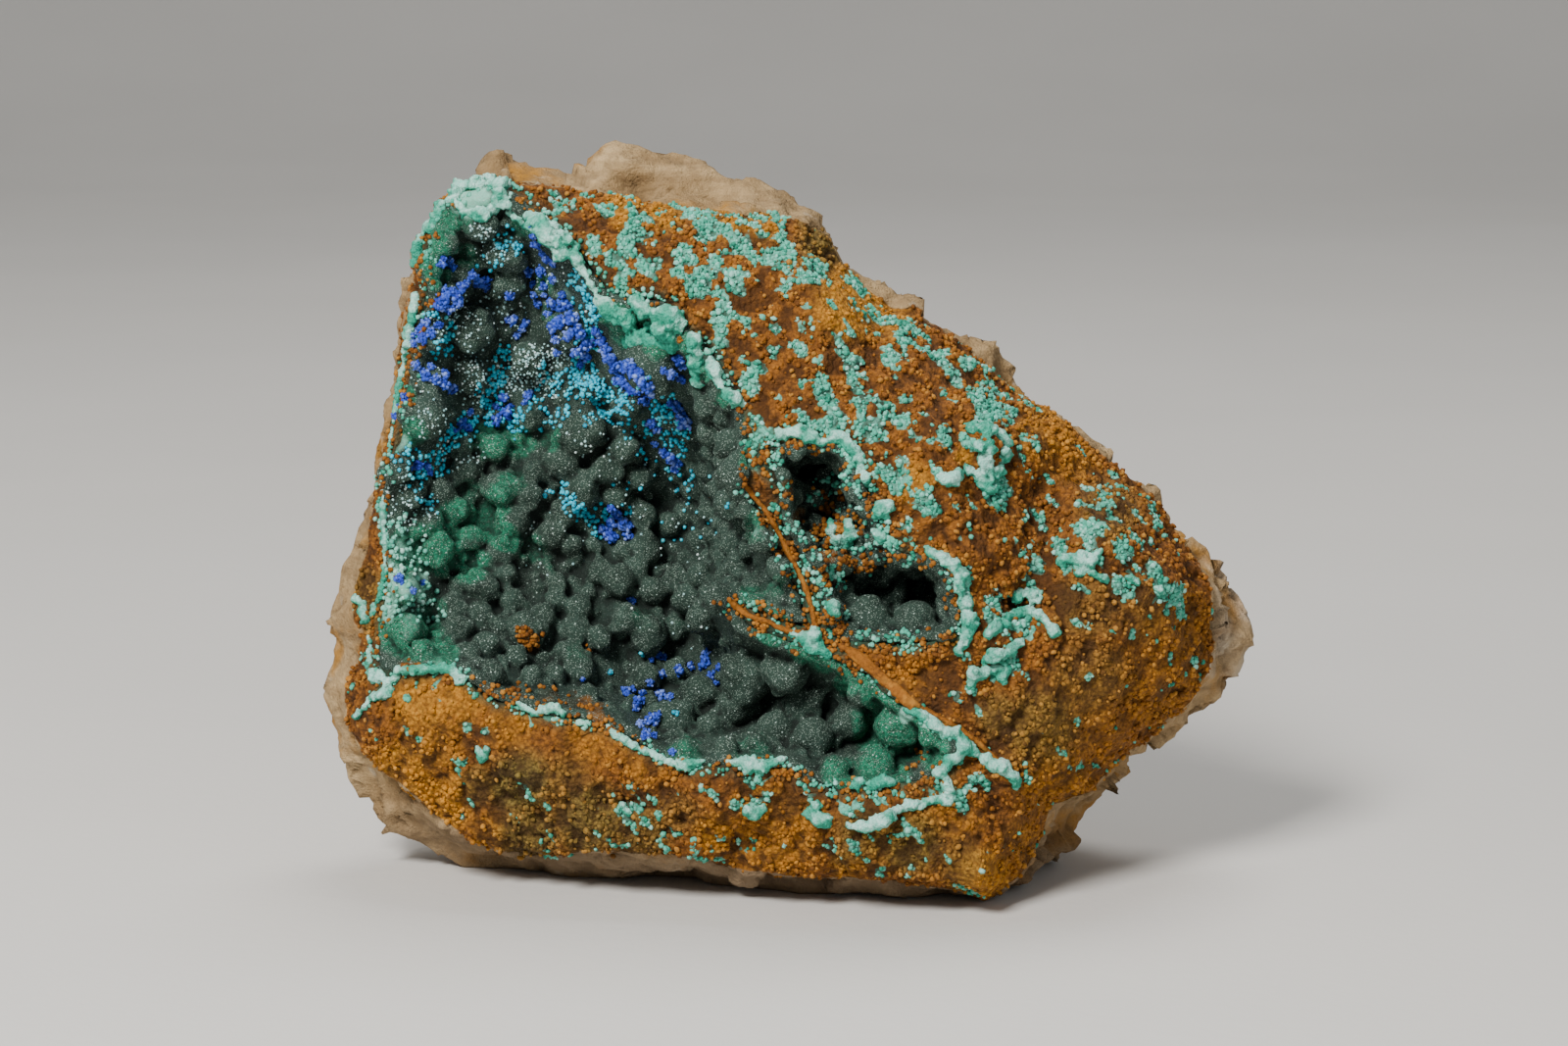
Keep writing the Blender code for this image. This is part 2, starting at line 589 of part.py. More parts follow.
def make_crust(name, outline, sheet, lumps, hollow, block, ratio, groups):
    """Lumpy crust that lines a hollow, a small gap off its wall.

    Both cuts use the MANIFOLD solver, because EXACT leaves nothing of the crust in the
    first one: the thinned crust and the hollow's shrunk copy are nearly parallel there.
    """
    group, cutters = groups
    obj = prism(name, outline, group, HOLLOW_VOXEL)
    swell(obj, CRUST_THICKNESS)
    points = coordinates(obj)
    spots = points[:, :2]
    share = back_share(points) * (1.0 + 2.0 * CRUST_FLAT_SHARE) - CRUST_FLAT_SHARE
    share = np.clip(share, 0.0, 1.0)
    front = hollow_floor(spots, outline, sheet, CRUST_THICKNESS) + RIM_STAND
    back = sheet(spots) - CRUST_REACH_BACK
    back = np.minimum(back, front - LEAST_CRUST_DEPTH)
    depth = front * (1.0 - share) + back * share
    set_coordinates(obj, np.column_stack((spots, depth)))
    add_lumps(obj, lumps, outline, sheet)
    voxel_remesh(obj, CRUST_VOXEL)
    thin_out(obj, ratio)
    room = grown_copy(hollow, name + "_room", -GAP, cutters)
    boolean(obj, room, "INTERSECT", "MANIFOLD")
    wall = grown_copy(block, name + "_wall", LEAST_GAP, cutters)
    boolean(obj, wall, "DIFFERENCE", "MANIFOLD")
    keep_largest(obj)
    return obj


def keep_largest(obj):
    """Drop crumbs that a cut left apart from the main body."""
    shape = bmesh.new()
    shape.from_mesh(obj.data)
    left = set(shape.verts)
    bodies = []
    while left:
        body = {left.pop()}
        edge_of_body = set(body)
        while edge_of_body:
            vert = edge_of_body.pop()
            for edge in vert.link_edges:
                other = edge.other_vert(vert)
                if other in left:
                    left.remove(other)
                    body.add(other)
                    edge_of_body.add(other)
        bodies.append(body)
    bodies.sort(key=len, reverse=True)
    crumbs = [vert for body in bodies[1:] for vert in body]
    bmesh.ops.delete(shape, geom=crumbs, context="VERTS")
    shape.to_mesh(obj.data)
    shape.free()


def cut_foot(obj, group):
    """Cut the underside flat, at world height zero."""
    shape = bmesh.new()
    bmesh.ops.create_cube(shape, size=1.0)
    bmesh.ops.scale(shape, verts=shape.verts, vec=FOOT_CUT)
    bmesh.ops.translate(shape, verts=shape.verts, vec=(0.0, 0.0, -FOOT_CUT[2] / 2.0))
    mesh = bpy.data.meshes.new("foot_cut")
    shape.to_mesh(mesh)
    shape.free()
    cutter = bpy.data.objects.new("foot_cut", mesh)
    group.objects.link(cutter)
    boolean(obj, cutter, "DIFFERENCE")


def stone_material(name, colour, roughness):
    """Plain stone finish."""
    material = bpy.data.materials.new(name)
    material.use_nodes = True
    shader = material.node_tree.nodes["Principled BSDF"]
    shader.inputs["Base Color"].default_value = (*colour, 1.0)
    shader.inputs["Roughness"].default_value = roughness
    shader.inputs["Metallic"].default_value = 0.0
    return material


def main():
    """Model the block, cut its hollows, line them and stand it up."""
    for old in list(bpy.data.objects):
        bpy.data.objects.remove(old, do_unlink=True)
    parts = new_collection("mineral_specimen")
    cutters = new_collection("hollows")
    vug_sheet = depth_sheet(VUG_DEPTHS)
    side_sheet = depth_sheet(SIDE_DEPTHS)
    vug = make_hollow("vug_space", VUG_OUTLINE, vug_sheet, cutters)
    side = make_hollow("side_space", SIDE_OUTLINE, side_sheet, cutters)
    block = make_block(parts)
    boolean(block, vug, "DIFFERENCE")
    boolean(block, side, "DIFFERENCE")
    keep_largest(block)
    groups = (parts, cutters)
    vug_crust = make_crust("vug_crust", VUG_OUTLINE, vug_sheet, VUG_LUMPS, vug, block,
                           CRUST_RATIO, groups)
    side_crust = make_crust("side_vug_crust", SIDE_OUTLINE, side_sheet, SIDE_LUMPS, side,
                            block, SIDE_CRUST_RATIO, groups)

    drop = np.array([0.0, 0.0, foot_height()])
    for obj in (block, vug_crust, side_crust):
        set_coordinates(obj, to_world(coordinates(obj)) - drop)
    cut_foot(block, cutters)
    keep_largest(block)

    placed = coordinates(block)
    middle = (placed.min(axis=0) + placed.max(axis=0)) / 2.0
    shift = np.array([middle[0], middle[1], 0.0])
    for obj in (block, vug_crust, side_crust):
        set_coordinates(obj, coordinates(obj) - shift)
    print("view frame moved by", -shift[0], -shift[1], "foot", foot_height())

    finishes = (
        (block, "limonite_rock", (0.36, 0.20, 0.075), 0.88),
        (vug_crust, "green_crust", (0.055, 0.10, 0.08), 0.75),
        (side_crust, "side_green_crust", (0.07, 0.14, 0.115), 0.75),
    )
    for obj, name, colour, roughness in finishes:
        obj.data.materials.clear()
        obj.data.materials.append(stone_material(name, colour, roughness))
    for obj in cutters.objects:
        obj.hide_render = True
        obj.display_type = "WIRE"
    for obj in (block, vug_crust, side_crust):
        obj.data.shade_smooth()
        obj.data.set_sharp_from_angle(angle=SHARP_ANGLE)
        print(obj.name, "faces", sum(len(face.vertices) - 2 for face in obj.data.polygons))


if __name__ == "__main__":
    main()
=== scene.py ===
"""Looks of a cabinet mineral specimen: tan rock, rusty limonite skin and green, blue crusts.

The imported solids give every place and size. Forms are read in a front view, in picture
points 1600 wide and 1067 high, written as (across, down). A sight line through such a
point meets the solids, and what grows there is set on the surface that it meets.
"""
import logging
import math
from dataclasses import dataclass, field
from enum import Enum, IntEnum
from itertools import product

import bpy
import numpy as np
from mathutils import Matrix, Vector
from mathutils.bvhtree import BVHTree


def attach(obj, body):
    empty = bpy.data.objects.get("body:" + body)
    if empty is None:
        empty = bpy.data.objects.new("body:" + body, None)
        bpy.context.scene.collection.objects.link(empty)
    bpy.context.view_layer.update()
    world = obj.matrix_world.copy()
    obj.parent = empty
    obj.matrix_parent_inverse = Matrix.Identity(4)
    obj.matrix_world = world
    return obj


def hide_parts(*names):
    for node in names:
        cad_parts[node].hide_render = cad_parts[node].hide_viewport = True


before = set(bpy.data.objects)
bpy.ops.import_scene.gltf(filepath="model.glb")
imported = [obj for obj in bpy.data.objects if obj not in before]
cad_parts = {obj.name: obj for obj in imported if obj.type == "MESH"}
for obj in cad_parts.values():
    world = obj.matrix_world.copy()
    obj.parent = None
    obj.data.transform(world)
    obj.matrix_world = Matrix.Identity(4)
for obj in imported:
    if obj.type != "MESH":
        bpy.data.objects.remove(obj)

MM = 0.001
LOG = logging.getLogger("specimen")
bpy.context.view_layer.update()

Array = np.ndarray
Random = np.random.Generator
Object = bpy.types.Object
Socket = bpy.types.NodeSocket
Tree = bpy.types.NodeTree
# Centre and radius of a ball
Ball = tuple[Vector, float]

# Mixing of whole-number cells into steady random numbers
CELL_PRIMES = (73856093, 19349663, 83492791)
SALT_STEP = 2654435761
MIX_SHIFTS = (15, 12, 17)
MIX_FACTOR = 668265263
WORD_MASK = 0xFFFFFFFF

# Shift that keeps all cells of noise on the positive side
CELL_SHIFT = 1000.0

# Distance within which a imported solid's loose corners are one
WELD_DISTANCE = 0.00001

# Steps of a vertex group's weights, and the least weight where faces may be thinned
WEIGHT_STEPS = 10
LEAST_WEIGHT = 0.1

# Where a zone starts and ends to fade, as shares of its reach
ZONE_FADE = (0.45, 1.15)

# Cover and streaks together at which turquoise mats start and are full
MAT_EDGE = (0.42, 0.66)

# Direction of the streaks down the slope of the right shoulder
STREAK_WAY = (0.62, 0.0, -0.78)

# Outline of the limonite skin in the front view
SKIN_OUTLINE = (
    (436, 222), (455, 198), (478, 188), (535, 188), (620, 197), (653, 206), (697, 208),
    (730, 217), (799, 219), (840, 238), (864, 262), (882, 292), (908, 313), (939, 312),
    (964, 332), (992, 362), (1012, 380), (1036, 402), (1065, 412), (1100, 445),
    (1160, 490), (1187, 515), (1202, 545), (1221, 575), (1233, 600), (1241, 640),
    (1236, 680), (1216, 715), (1182, 747), (1142, 772), (1117, 805), (1072, 822),
    (1064, 852), (1047, 884), (1004, 925), (980, 908), (940, 898), (880, 894),
    (790, 892), (735, 882), (700, 874), (640, 870), (560, 870), (515, 869), (480, 858),
    (458, 838), (430, 815), (395, 790), (372, 766), (356, 737), (352, 700), (356, 650),
    (362, 600), (378, 560), (382, 500), (396, 445), (404, 400), (410, 340), (420, 285),
    (424, 245),
)

# Outlines of the hollows
VUG_OUTLINE = (
    (434, 262), (438, 240), (449, 216), (464, 199), (482, 193), (510, 190), (531, 196),
    (541, 213), (558, 226), (574, 235), (592, 260), (608, 282), (622, 300), (642, 304),
    (668, 304), (690, 318), (703, 344), (720, 352), (736, 370), (748, 396), (760, 410),
    (762, 440), (765, 470), (757, 496), (776, 526), (794, 562), (811, 596), (819, 622),
    (823, 638), (806, 636), (784, 625), (763, 617), (745, 609), (740, 617), (760, 637),
    (783, 646), (808, 656), (838, 664), (862, 676), (888, 690), (911, 710), (934, 724),
    (960, 742), (984, 758), (976, 773), (958, 789), (940, 799), (915, 803), (880, 806),
    (850, 805), (826, 797), (806, 783), (770, 783), (740, 781), (715, 785), (695, 782),
    (670, 770), (645, 755), (622, 741), (600, 737), (575, 733), (555, 728), (530, 721),
    (505, 714), (488, 702), (478, 690), (460, 683), (430, 683), (405, 689), (387, 712),
    (380, 690), (382, 660), (384, 640), (392, 615), (396, 590), (393, 560), (391, 530),
    (389, 500), (395, 478), (402, 462), (410, 448), (411, 420), (414, 398), (420, 378),
    (424, 350), (431, 322), (439, 305), (435, 285),
)
SIDE_OUTLINE = (
    (785, 462), (797, 450), (830, 448), (858, 450), (872, 470), (880, 494), (893, 514),
    (905, 545), (922, 564), (950, 564), (971, 583), (977, 610), (984, 632), (974, 654),
    (940, 656), (900, 656), (856, 656), (845, 640), (839, 612), (829, 586), (813, 560),
    (797, 530), (796, 500), (788, 482),
)

# Lumps of the main crust: (across, down, radius)
VUG_LUMPS = (
    # Top left corner and the left wall
    (490, 228, 19), (452, 246, 16), (438, 272, 15), (514, 255, 23), (521, 286, 17),
    (470, 280, 15), (481, 334, 24), (460, 302, 13), (478, 383, 18), (440, 345, 13),
    (432, 426, 24), (440, 388, 15), (404, 478, 16), (417, 506, 14), (470, 455, 13),
    # Middle
    (580, 335, 22), (540, 365, 19), (664, 372, 30), (605, 390, 15), (640, 415, 16),
    (685, 425, 15), (540, 425, 16), (505, 457, 15), (590, 438, 27), (573, 470, 19),
    (545, 480, 13), (537, 505, 16), (522, 530, 18), (510, 498, 19), (474, 478, 15),
    (450, 502, 14), (437, 531, 16), (466, 520, 14), (447, 560, 18), (480, 548, 14),
    (592, 502, 20), (574, 526, 15), (618, 478, 17), (638, 458, 16), (652, 487, 14),
    (628, 503, 14), (656, 526, 15), (683, 535, 13), (658, 560, 18), (636, 562, 11),
    (562, 545, 16), (582, 556, 12), (512, 560, 16), (496, 572, 10), (516, 584, 12),
    (490, 598, 18), (468, 598, 12), (520, 612, 12), (567, 594, 12), (567, 612, 12),
    (590, 620, 14), (588, 645, 13), (612, 583, 13), (631, 592, 18), (649, 580, 13),
    (666, 602, 15), (691, 592, 15), (716, 588, 14), (702, 610, 17), (733, 607, 13),
    (717, 630, 17), (640, 632, 17), (662, 648, 20), (690, 640, 13), (611, 650, 14),
    # Lower left
    (535, 642, 20), (552, 629, 14), (490, 627, 14), (508, 641, 12), (460, 622, 15),
    (466, 642, 16), (495, 657, 14), (480, 668, 12), (526, 671, 13), (500, 686, 14),
    (543, 692, 12), (590, 682, 17), (566, 690, 12), (575, 665, 12), (415, 642, 18),
    (412, 600, 15), (432, 665, 13), (600, 710, 11),
    # Right end, beside the long fin
    (722, 415, 15), (727, 440, 16), (747, 452, 16), (748, 485, 15), (744, 512, 16),
    (750, 554, 15), (778, 552, 13), (755, 578, 16), (795, 580, 13), (768, 600, 13),
    (796, 612, 12),
    (735, 400, 10), (742, 425, 10), (752, 470, 10), (738, 468, 10), (735, 498, 10),
    (752, 500, 9), (760, 520, 10), (742, 540, 10), (765, 560, 9), (728, 460, 10),
    (722, 480, 10), (725, 520, 11), (730, 545, 11), (738, 570, 10), (750, 602, 9),
    (715, 398, 9), (706, 440, 10), (700, 462, 9), (711, 476, 10), (708, 500, 11),
    (700, 525, 11), (712, 550, 11), (784, 596, 9),
    # Lower pocket
    (660, 690, 15), (690, 684, 14), (713, 706, 19), (686, 736, 24), (660, 722, 14),
    (744, 734, 12), (726, 742, 14), (762, 690, 28), (802, 684, 24), (752, 718, 20),
    (790, 746, 20), (830, 752, 21), (820, 718, 20), (868, 736, 20), (770, 766, 14),
    (697, 766, 14), (740, 766, 12), (850, 786, 15), (892, 782, 22), (915, 742, 22),
    (880, 705, 14), (948, 752, 11), (968, 762, 9),
)
SIDE_LUMPS = (
    (858, 543, 15), (826, 508, 17), (846, 488, 15), (830, 535, 12), (852, 578, 14),
    (880, 574, 15), (897, 590, 11), (886, 632, 23), (914, 604, 14), (935, 637, 22),
    (852, 620, 10), (835, 570, 10), (873, 500, 10), (962, 645, 10), (958, 575, 9),
    (812, 462, 9), (884, 520, 9), (840, 500, 9), (854, 514, 10), (864, 530, 9), (868, 556, 10),
    (876, 594, 9), (862, 600, 9), (900, 566, 9), (912, 580, 8), (893, 548, 9), (880, 556, 9),
    (844, 556, 8), (836, 588, 8), (842, 604, 8), (868, 616, 9), (940, 600, 9), (920, 655, 9),
    (950, 655, 9), (968, 620, 9), (972, 598, 8), (800, 486, 8), (795, 466, 7), (868, 486, 9),
    (822, 552, 8), (905, 655, 8), (886, 658, 8), (866, 645, 9), (856, 640, 8),
)

# Thick velvety rim of the main hollow, as runs of balls: (across, down, radius)
RIM_RUNS = (
    # Up the left corner, over the ring and down the notch
    ((424, 268, 6), (427, 250, 7), (433, 239, 7), (441, 228, 8), (449, 216, 8),
     (457, 205, 8), (464, 198, 8), (474, 192, 8), (488, 189, 8), (503, 188, 9), (516, 191, 8)),
    ((465, 204, 8), (471, 213, 8), (482, 219, 8), (495, 219, 8), (504, 212, 7), (509, 203, 6)),
    ((510, 197, 8), (516, 206, 8), (522, 216, 8), (529, 224, 7), (535, 230, 5)),
    # Right lip
    ((541, 219, 6), (549, 227, 9), (556, 236, 9), (563, 246, 10), (572, 254, 10),
     (581, 259, 9), (589, 265, 7), (594, 273, 5), (600, 284, 4), (607, 296, 4)),
    ((556, 226, 7), (572, 240, 8), (590, 252, 6)),
    ((614, 306, 9), (624, 313, 10), (635, 319, 10), (641, 329, 8)),
    ((648, 308, 7), (657, 318, 7), (667, 321, 10), (677, 320, 12), (687, 326, 12), (692, 336, 8)),
    ((664, 332, 9), (679, 338, 11), (684, 346, 8)),
    ((640, 350, 7), (652, 345, 9), (667, 350, 7), (692, 350, 8)),
    ((704, 343, 7), (708, 354, 8), (712, 366, 9), (711, 377, 9), (715, 388, 8)),
    ((722, 361, 6), (727, 371, 8), (731, 382, 8), (737, 393, 8), (744, 403, 8), (753, 410, 7),
     (761, 413, 6)),
    # Thin strip down the left edge
    ((425, 300, 4), (423, 315, 5), (420, 330, 5), (418, 345, 5), (415, 360, 5), (412, 378, 4),
     (408, 396, 4), (404, 415, 3), (401, 433, 3), (399, 452, 3)),
    ((390, 500, 3), (392, 530, 4), (394, 556, 4), (393, 585, 3), (388, 608, 4), (380, 626, 5)),
    # Lower left mass
    ((376, 640, 4), (378, 660, 4), (376, 680, 5), (383, 694, 7), (393, 697, 9), (402, 693, 7)),
    ((400, 706, 7), (388, 709, 7), (378, 712, 6), (371, 722, 5), (365, 731, 4)),
    ((405, 684, 5), (425, 682, 5), (445, 681, 5), (463, 684, 6), (474, 693, 6), (468, 698, 4)),
    ((363, 612, 5), (371, 617, 7), (373, 630, 5)),
    # Lower lip
    ((528, 716, 3), (545, 727, 4), (557, 724, 6), (568, 722, 5), (575, 728, 4)),
    ((586, 737, 3), (602, 738, 3)),
    ((620, 741, 3), (628, 749, 4), (641, 758, 4), (660, 767, 4), (676, 774, 4), (690, 779, 5),
     (699, 781, 7), (708, 778, 8), (717, 777, 5)),
    ((742, 776, 4), (754, 777, 5), (765, 781, 8), (776, 783, 9), (786, 777, 7), (801, 774, 5)),
    ((868, 800, 6), (877, 797, 5), (874, 806, 5)),
    ((887, 806, 4), (891, 799, 5), (901, 797, 6), (911, 798, 4)),
    # Knot where the fins meet
    ((810, 646, 7), (820, 653, 8), (830, 650, 8), (838, 657, 7), (826, 662, 6), (843, 665, 5)),
    # Forked ridge at the right end of the pocket
    ((924, 725, 6), (933, 727, 6), (945, 732, 7), (956, 741, 7), (968, 747, 8), (979, 751, 8),
     (988, 757, 7), (980, 763, 8), (972, 772, 8), (965, 781, 7), (957, 789, 6)),
    ((992, 765, 6), (1002, 773, 7), (1012, 780, 7), (1022, 784, 8), (1031, 791, 7), (1036, 802, 6)),
    ((966, 795, 6), (968, 806, 7), (970, 817, 7), (956, 815, 5), (940, 820, 5), (925, 822, 6),
     (912, 828, 6), (903, 836, 7), (892, 841, 6), (878, 843, 6), (866, 841, 5)),
)

# Turquoise growths on the limonite, as runs of balls: (across, down, radius)
GROWTH_RUNS = (
    # Ringed knob and the balls beside it
    ((988, 436, 6), (997, 439, 8), (1007, 437, 8), (1017, 442, 8), (1023, 452, 8),
     (1025, 464, 8), (1021, 475, 8), (1013, 483, 8), (1003, 486, 8), (993, 481, 6), (985, 476, 5)),
    ((1001, 454, 8), (1009, 452, 8), (1003, 496, 6), (1012, 498, 8), (1022, 501, 6)),
    ((962, 487, 5), (970, 490, 9), (977, 484, 7)),
    # Growths over the grooves, right of the side hollow
    ((1036, 608, 7), (1044, 604, 6), (1055, 606, 7), (1062, 613, 6)),
    ((1009, 647, 8), (1017, 638, 8), (1027, 631, 6), (1038, 628, 6), (1050, 625, 6),
     (1060, 626, 5), (1068, 635, 5), (1075, 645, 5)),
    ((1003, 673, 6), (1009, 664, 9), (1020, 668, 7), (1030, 661, 7), (1041, 655, 5)),
    ((989, 701, 5), (996, 690, 8), (1006, 685, 8), (1017, 682, 8), (1028, 683, 7), (1020, 692, 6)),
    ((1084, 573, 6), (1094, 569, 8), (1104, 572, 8), (1113, 574, 7), (1119, 567, 6)),
    ((1098, 581, 6), (1110, 583, 7), (1122, 588, 6), (1130, 592, 5)),
    ((1152, 589, 5), (1160, 594, 4)), ((1180, 600, 5), (1187, 605, 4)),
    # Rims of the two holes of the side hollow
    ((798, 443, 6), (808, 440, 7), (819, 443, 7), (830, 447, 6), (841, 451, 6)),
    ((850, 447, 7), (858, 443, 7), (867, 451, 7), (874, 460, 6), (878, 471, 7), (882, 482, 8),
     (885, 493, 7)),
    ((848, 535, 7), (850, 548, 7), (860, 554, 7), (868, 545, 6), (862, 534, 6)),
    ((892, 527, 6), (898, 518, 9), (906, 513, 6)), ((893, 541, 6), (900, 549, 5)),
    ((849, 620, 8), (851, 622, 8)),
    ((948, 563, 5), (958, 567, 6), (967, 571, 7), (976, 579, 8), (981, 590, 9), (977, 599, 7),
     (985, 606, 8), (985, 618, 8), (990, 630, 8), (988, 643, 8), (984, 656, 7), (979, 665, 5)),
    # Stars on the lower belly
    ((834, 822, 8), (828, 831, 8), (839, 833, 8), (846, 842, 5)),
    ((762, 825, 5), (771, 829, 6), (779, 826, 4)), ((488, 764, 5), (493, 770, 6), (497, 763, 4)),
    ((636, 823, 5), (641, 829, 5)),
)

# Where turquoise grains mat the limonite: (across, down, reach, cover)
TURQUOISE_ZONES = (
    (565, 203, 24, 0.35), (600, 194, 16, 0.6), (620, 214, 14, 0.7), (640, 240, 13, 0.9),
    (634, 262, 16, 0.8), (662, 270, 20, 0.7), (684, 222, 22, 0.45), (700, 262, 20, 0.7),
    (720, 234, 20, 0.8), (713, 288, 22, 0.95), (734, 302, 12, 0.9), (748, 248, 20, 0.6),
    (776, 254, 24, 0.7), (800, 264, 20, 0.7), (828, 276, 20, 0.6), (860, 302, 34, 0.35),
    (660, 306, 15, 0.8), (640, 286, 15, 0.6), (690, 300, 12, 0.6), (734, 350, 12, 0.8),
    (776, 344, 15, 0.6), (791, 352, 10, 0.8), (766, 390, 16, 0.85), (772, 378, 12, 0.7),
    (840, 364, 15, 0.6), (860, 348, 20, 0.5), (872, 370, 15, 0.6), (840, 400, 15, 0.7),
    (846, 414, 15, 0.8), (850, 430, 18, 0.95), (880, 400, 15, 0.6), (902, 420, 15, 0.5),
    (925, 404, 12, 0.8), (920, 430, 12, 0.7), (925, 340, 16, 0.9), (940, 350, 15, 0.8),
    (960, 366, 15, 0.7), (985, 372, 12, 0.8), (975, 386, 15, 0.7), (995, 400, 15, 0.7),
    (1010, 420, 16, 0.85), (980, 430, 12, 0.8), (985, 448, 12, 0.9), (960, 456, 20, 0.45),
    (944, 470, 10, 0.6), (900, 485, 15, 0.6), (912, 497, 12, 0.7), (950, 520, 9, 0.8),
    (976, 520, 11, 0.6), (1020, 500, 16, 0.7), (1082, 560, 12, 0.7), (1090, 530, 12, 0.6),
    (1075, 510, 14, 0.35), (1110, 500, 30, 0.3), (1130, 520, 30, 0.35), (1130, 542, 20, 0.4),
    (1150, 560, 25, 0.45), (1170, 580, 20, 0.6), (1190, 602, 18, 0.7), (1200, 620, 15, 0.6),
    (1148, 598, 22, 0.6), (1132, 630, 30, 0.22), (1100, 642, 25, 0.15), (760, 430, 14, 0.8),
    (770, 450, 12, 0.6), (790, 440, 10, 0.8), (742, 424, 10, 0.5), (1016, 625, 24, 0.4),
    (1030, 655, 26, 0.5), (1000, 690, 20, 0.5), (972, 712, 12, 0.6), (1045, 710, 14, 0.3),
    (477, 742, 6, 0.9), (495, 745, 6, 0.9), (492, 768, 9, 0.9), (473, 776, 5, 0.8),
    (638, 826, 10, 0.9), (679, 858, 12, 0.7), (672, 832, 7, 0.7), (690, 845, 13, 0.45),
    (770, 825, 11, 0.9), (750, 820, 7, 0.6), (795, 845, 7, 0.6), (650, 855, 15, 0.35),
    (702, 870, 12, 0.35), (735, 880, 8, 0.5), (812, 860, 15, 0.3), (870, 858, 25, 0.35),
    (900, 850, 22, 0.6), (940, 872, 20, 0.3), (620, 845, 20, 0.15), (985, 815, 20, 0.5),
    (945, 805, 24, 0.4), (905, 812, 20, 0.3), (815, 800, 12, 0.5), (700, 785, 14, 0.5),
    (770, 790, 16, 0.5), (570, 728, 18, 0.5), (1000, 800, 16, 0.4), (620, 230, 60, 0.3),
    (850, 380, 130, 0.3), (720, 260, 110, 0.36), (980, 470, 90, 0.3), (980, 560, 60, 0.2),
    (1110, 550, 100, 0.26), (1020, 640, 60, 0.3), (640, 850, 110, 0.1), (900, 830, 70, 0.2),
    (1020, 420, 60, 0.38), (790, 320, 60, 0.34), (880, 450, 50, 0.3),
)

# Colour zones of the limonite: (across, down, reach, share)
OCHRE_ZONES = (
    (640, 212, 26, 0.9), (680, 216, 24, 0.9), (740, 226, 26, 0.8), (780, 228, 24, 0.8),
    (430, 720, 34, 0.8), (470, 712, 30, 0.7), (520, 735, 34, 0.5), (600, 752, 40, 0.4),
    (660, 775, 34, 0.4), (410, 790, 40, 0.9), (450, 820, 38, 0.9), (500, 850, 26, 0.6),
    (440, 760, 40, 0.6), (1004, 895, 38, 0.9), (960, 850, 50, 0.4), (868, 306, 48, 1.0),
    (905, 322, 30, 0.7), (933, 490, 26, 0.7), (985, 465, 12, 0.9), (1070, 440, 40, 0.6),
    (1095, 470, 30, 0.5), (1080, 800, 50, 0.5), (790, 850, 60, 0.5), (730, 850, 26, 0.8),
    (900, 860, 30, 0.6), (1180, 700, 60, 0.35), (1200, 640, 50, 0.4), (1100, 740, 70, 0.3),
    (865, 885, 22, 0.6), (930, 690, 30, 0.3), (1060, 760, 30, 0.4), (1045, 860, 30, 0.5),
)
OLIVE_ZONES = (
    (840, 250, 32, 0.8), (830, 225, 20, 0.7), (530, 800, 42, 0.9), (600, 835, 46, 0.8),
    (540, 850, 40, 0.8), (650, 850, 40, 0.6), (690, 830, 30, 0.4), (880, 850, 36, 0.6),
    (930, 860, 40, 0.7), (960, 800, 20, 0.3), (1060, 740, 50, 0.6), (1110, 690, 50, 0.4),
    (1020, 730, 30, 0.6), (1130, 520, 40, 0.5), (1110, 620, 46, 0.4), (575, 800, 34, 0.5),
    (490, 800, 24, 0.6), (980, 880, 30, 0.4), (1160, 620, 40, 0.3), (385, 640, 20, 0.6),
    (370, 600, 30, 0.5), (860, 870, 20, 0.5),
)
SMOOTH_ZONES = (
    (868, 306, 44, 1.0), (905, 322, 26, 0.8), (933, 490, 22, 0.9), (985, 465, 12, 1.0),
    (430, 715, 40, 0.7), (480, 716, 30, 0.7), (540, 745, 40, 0.6), (610, 760, 40, 0.5),
    (1004, 895, 40, 0.7), (1060, 830, 40, 0.6), (1120, 740, 60, 0.5), (1090, 480, 40, 0.4),
    (1180, 660, 50, 0.5), (690, 170, 60, 1.0),
)

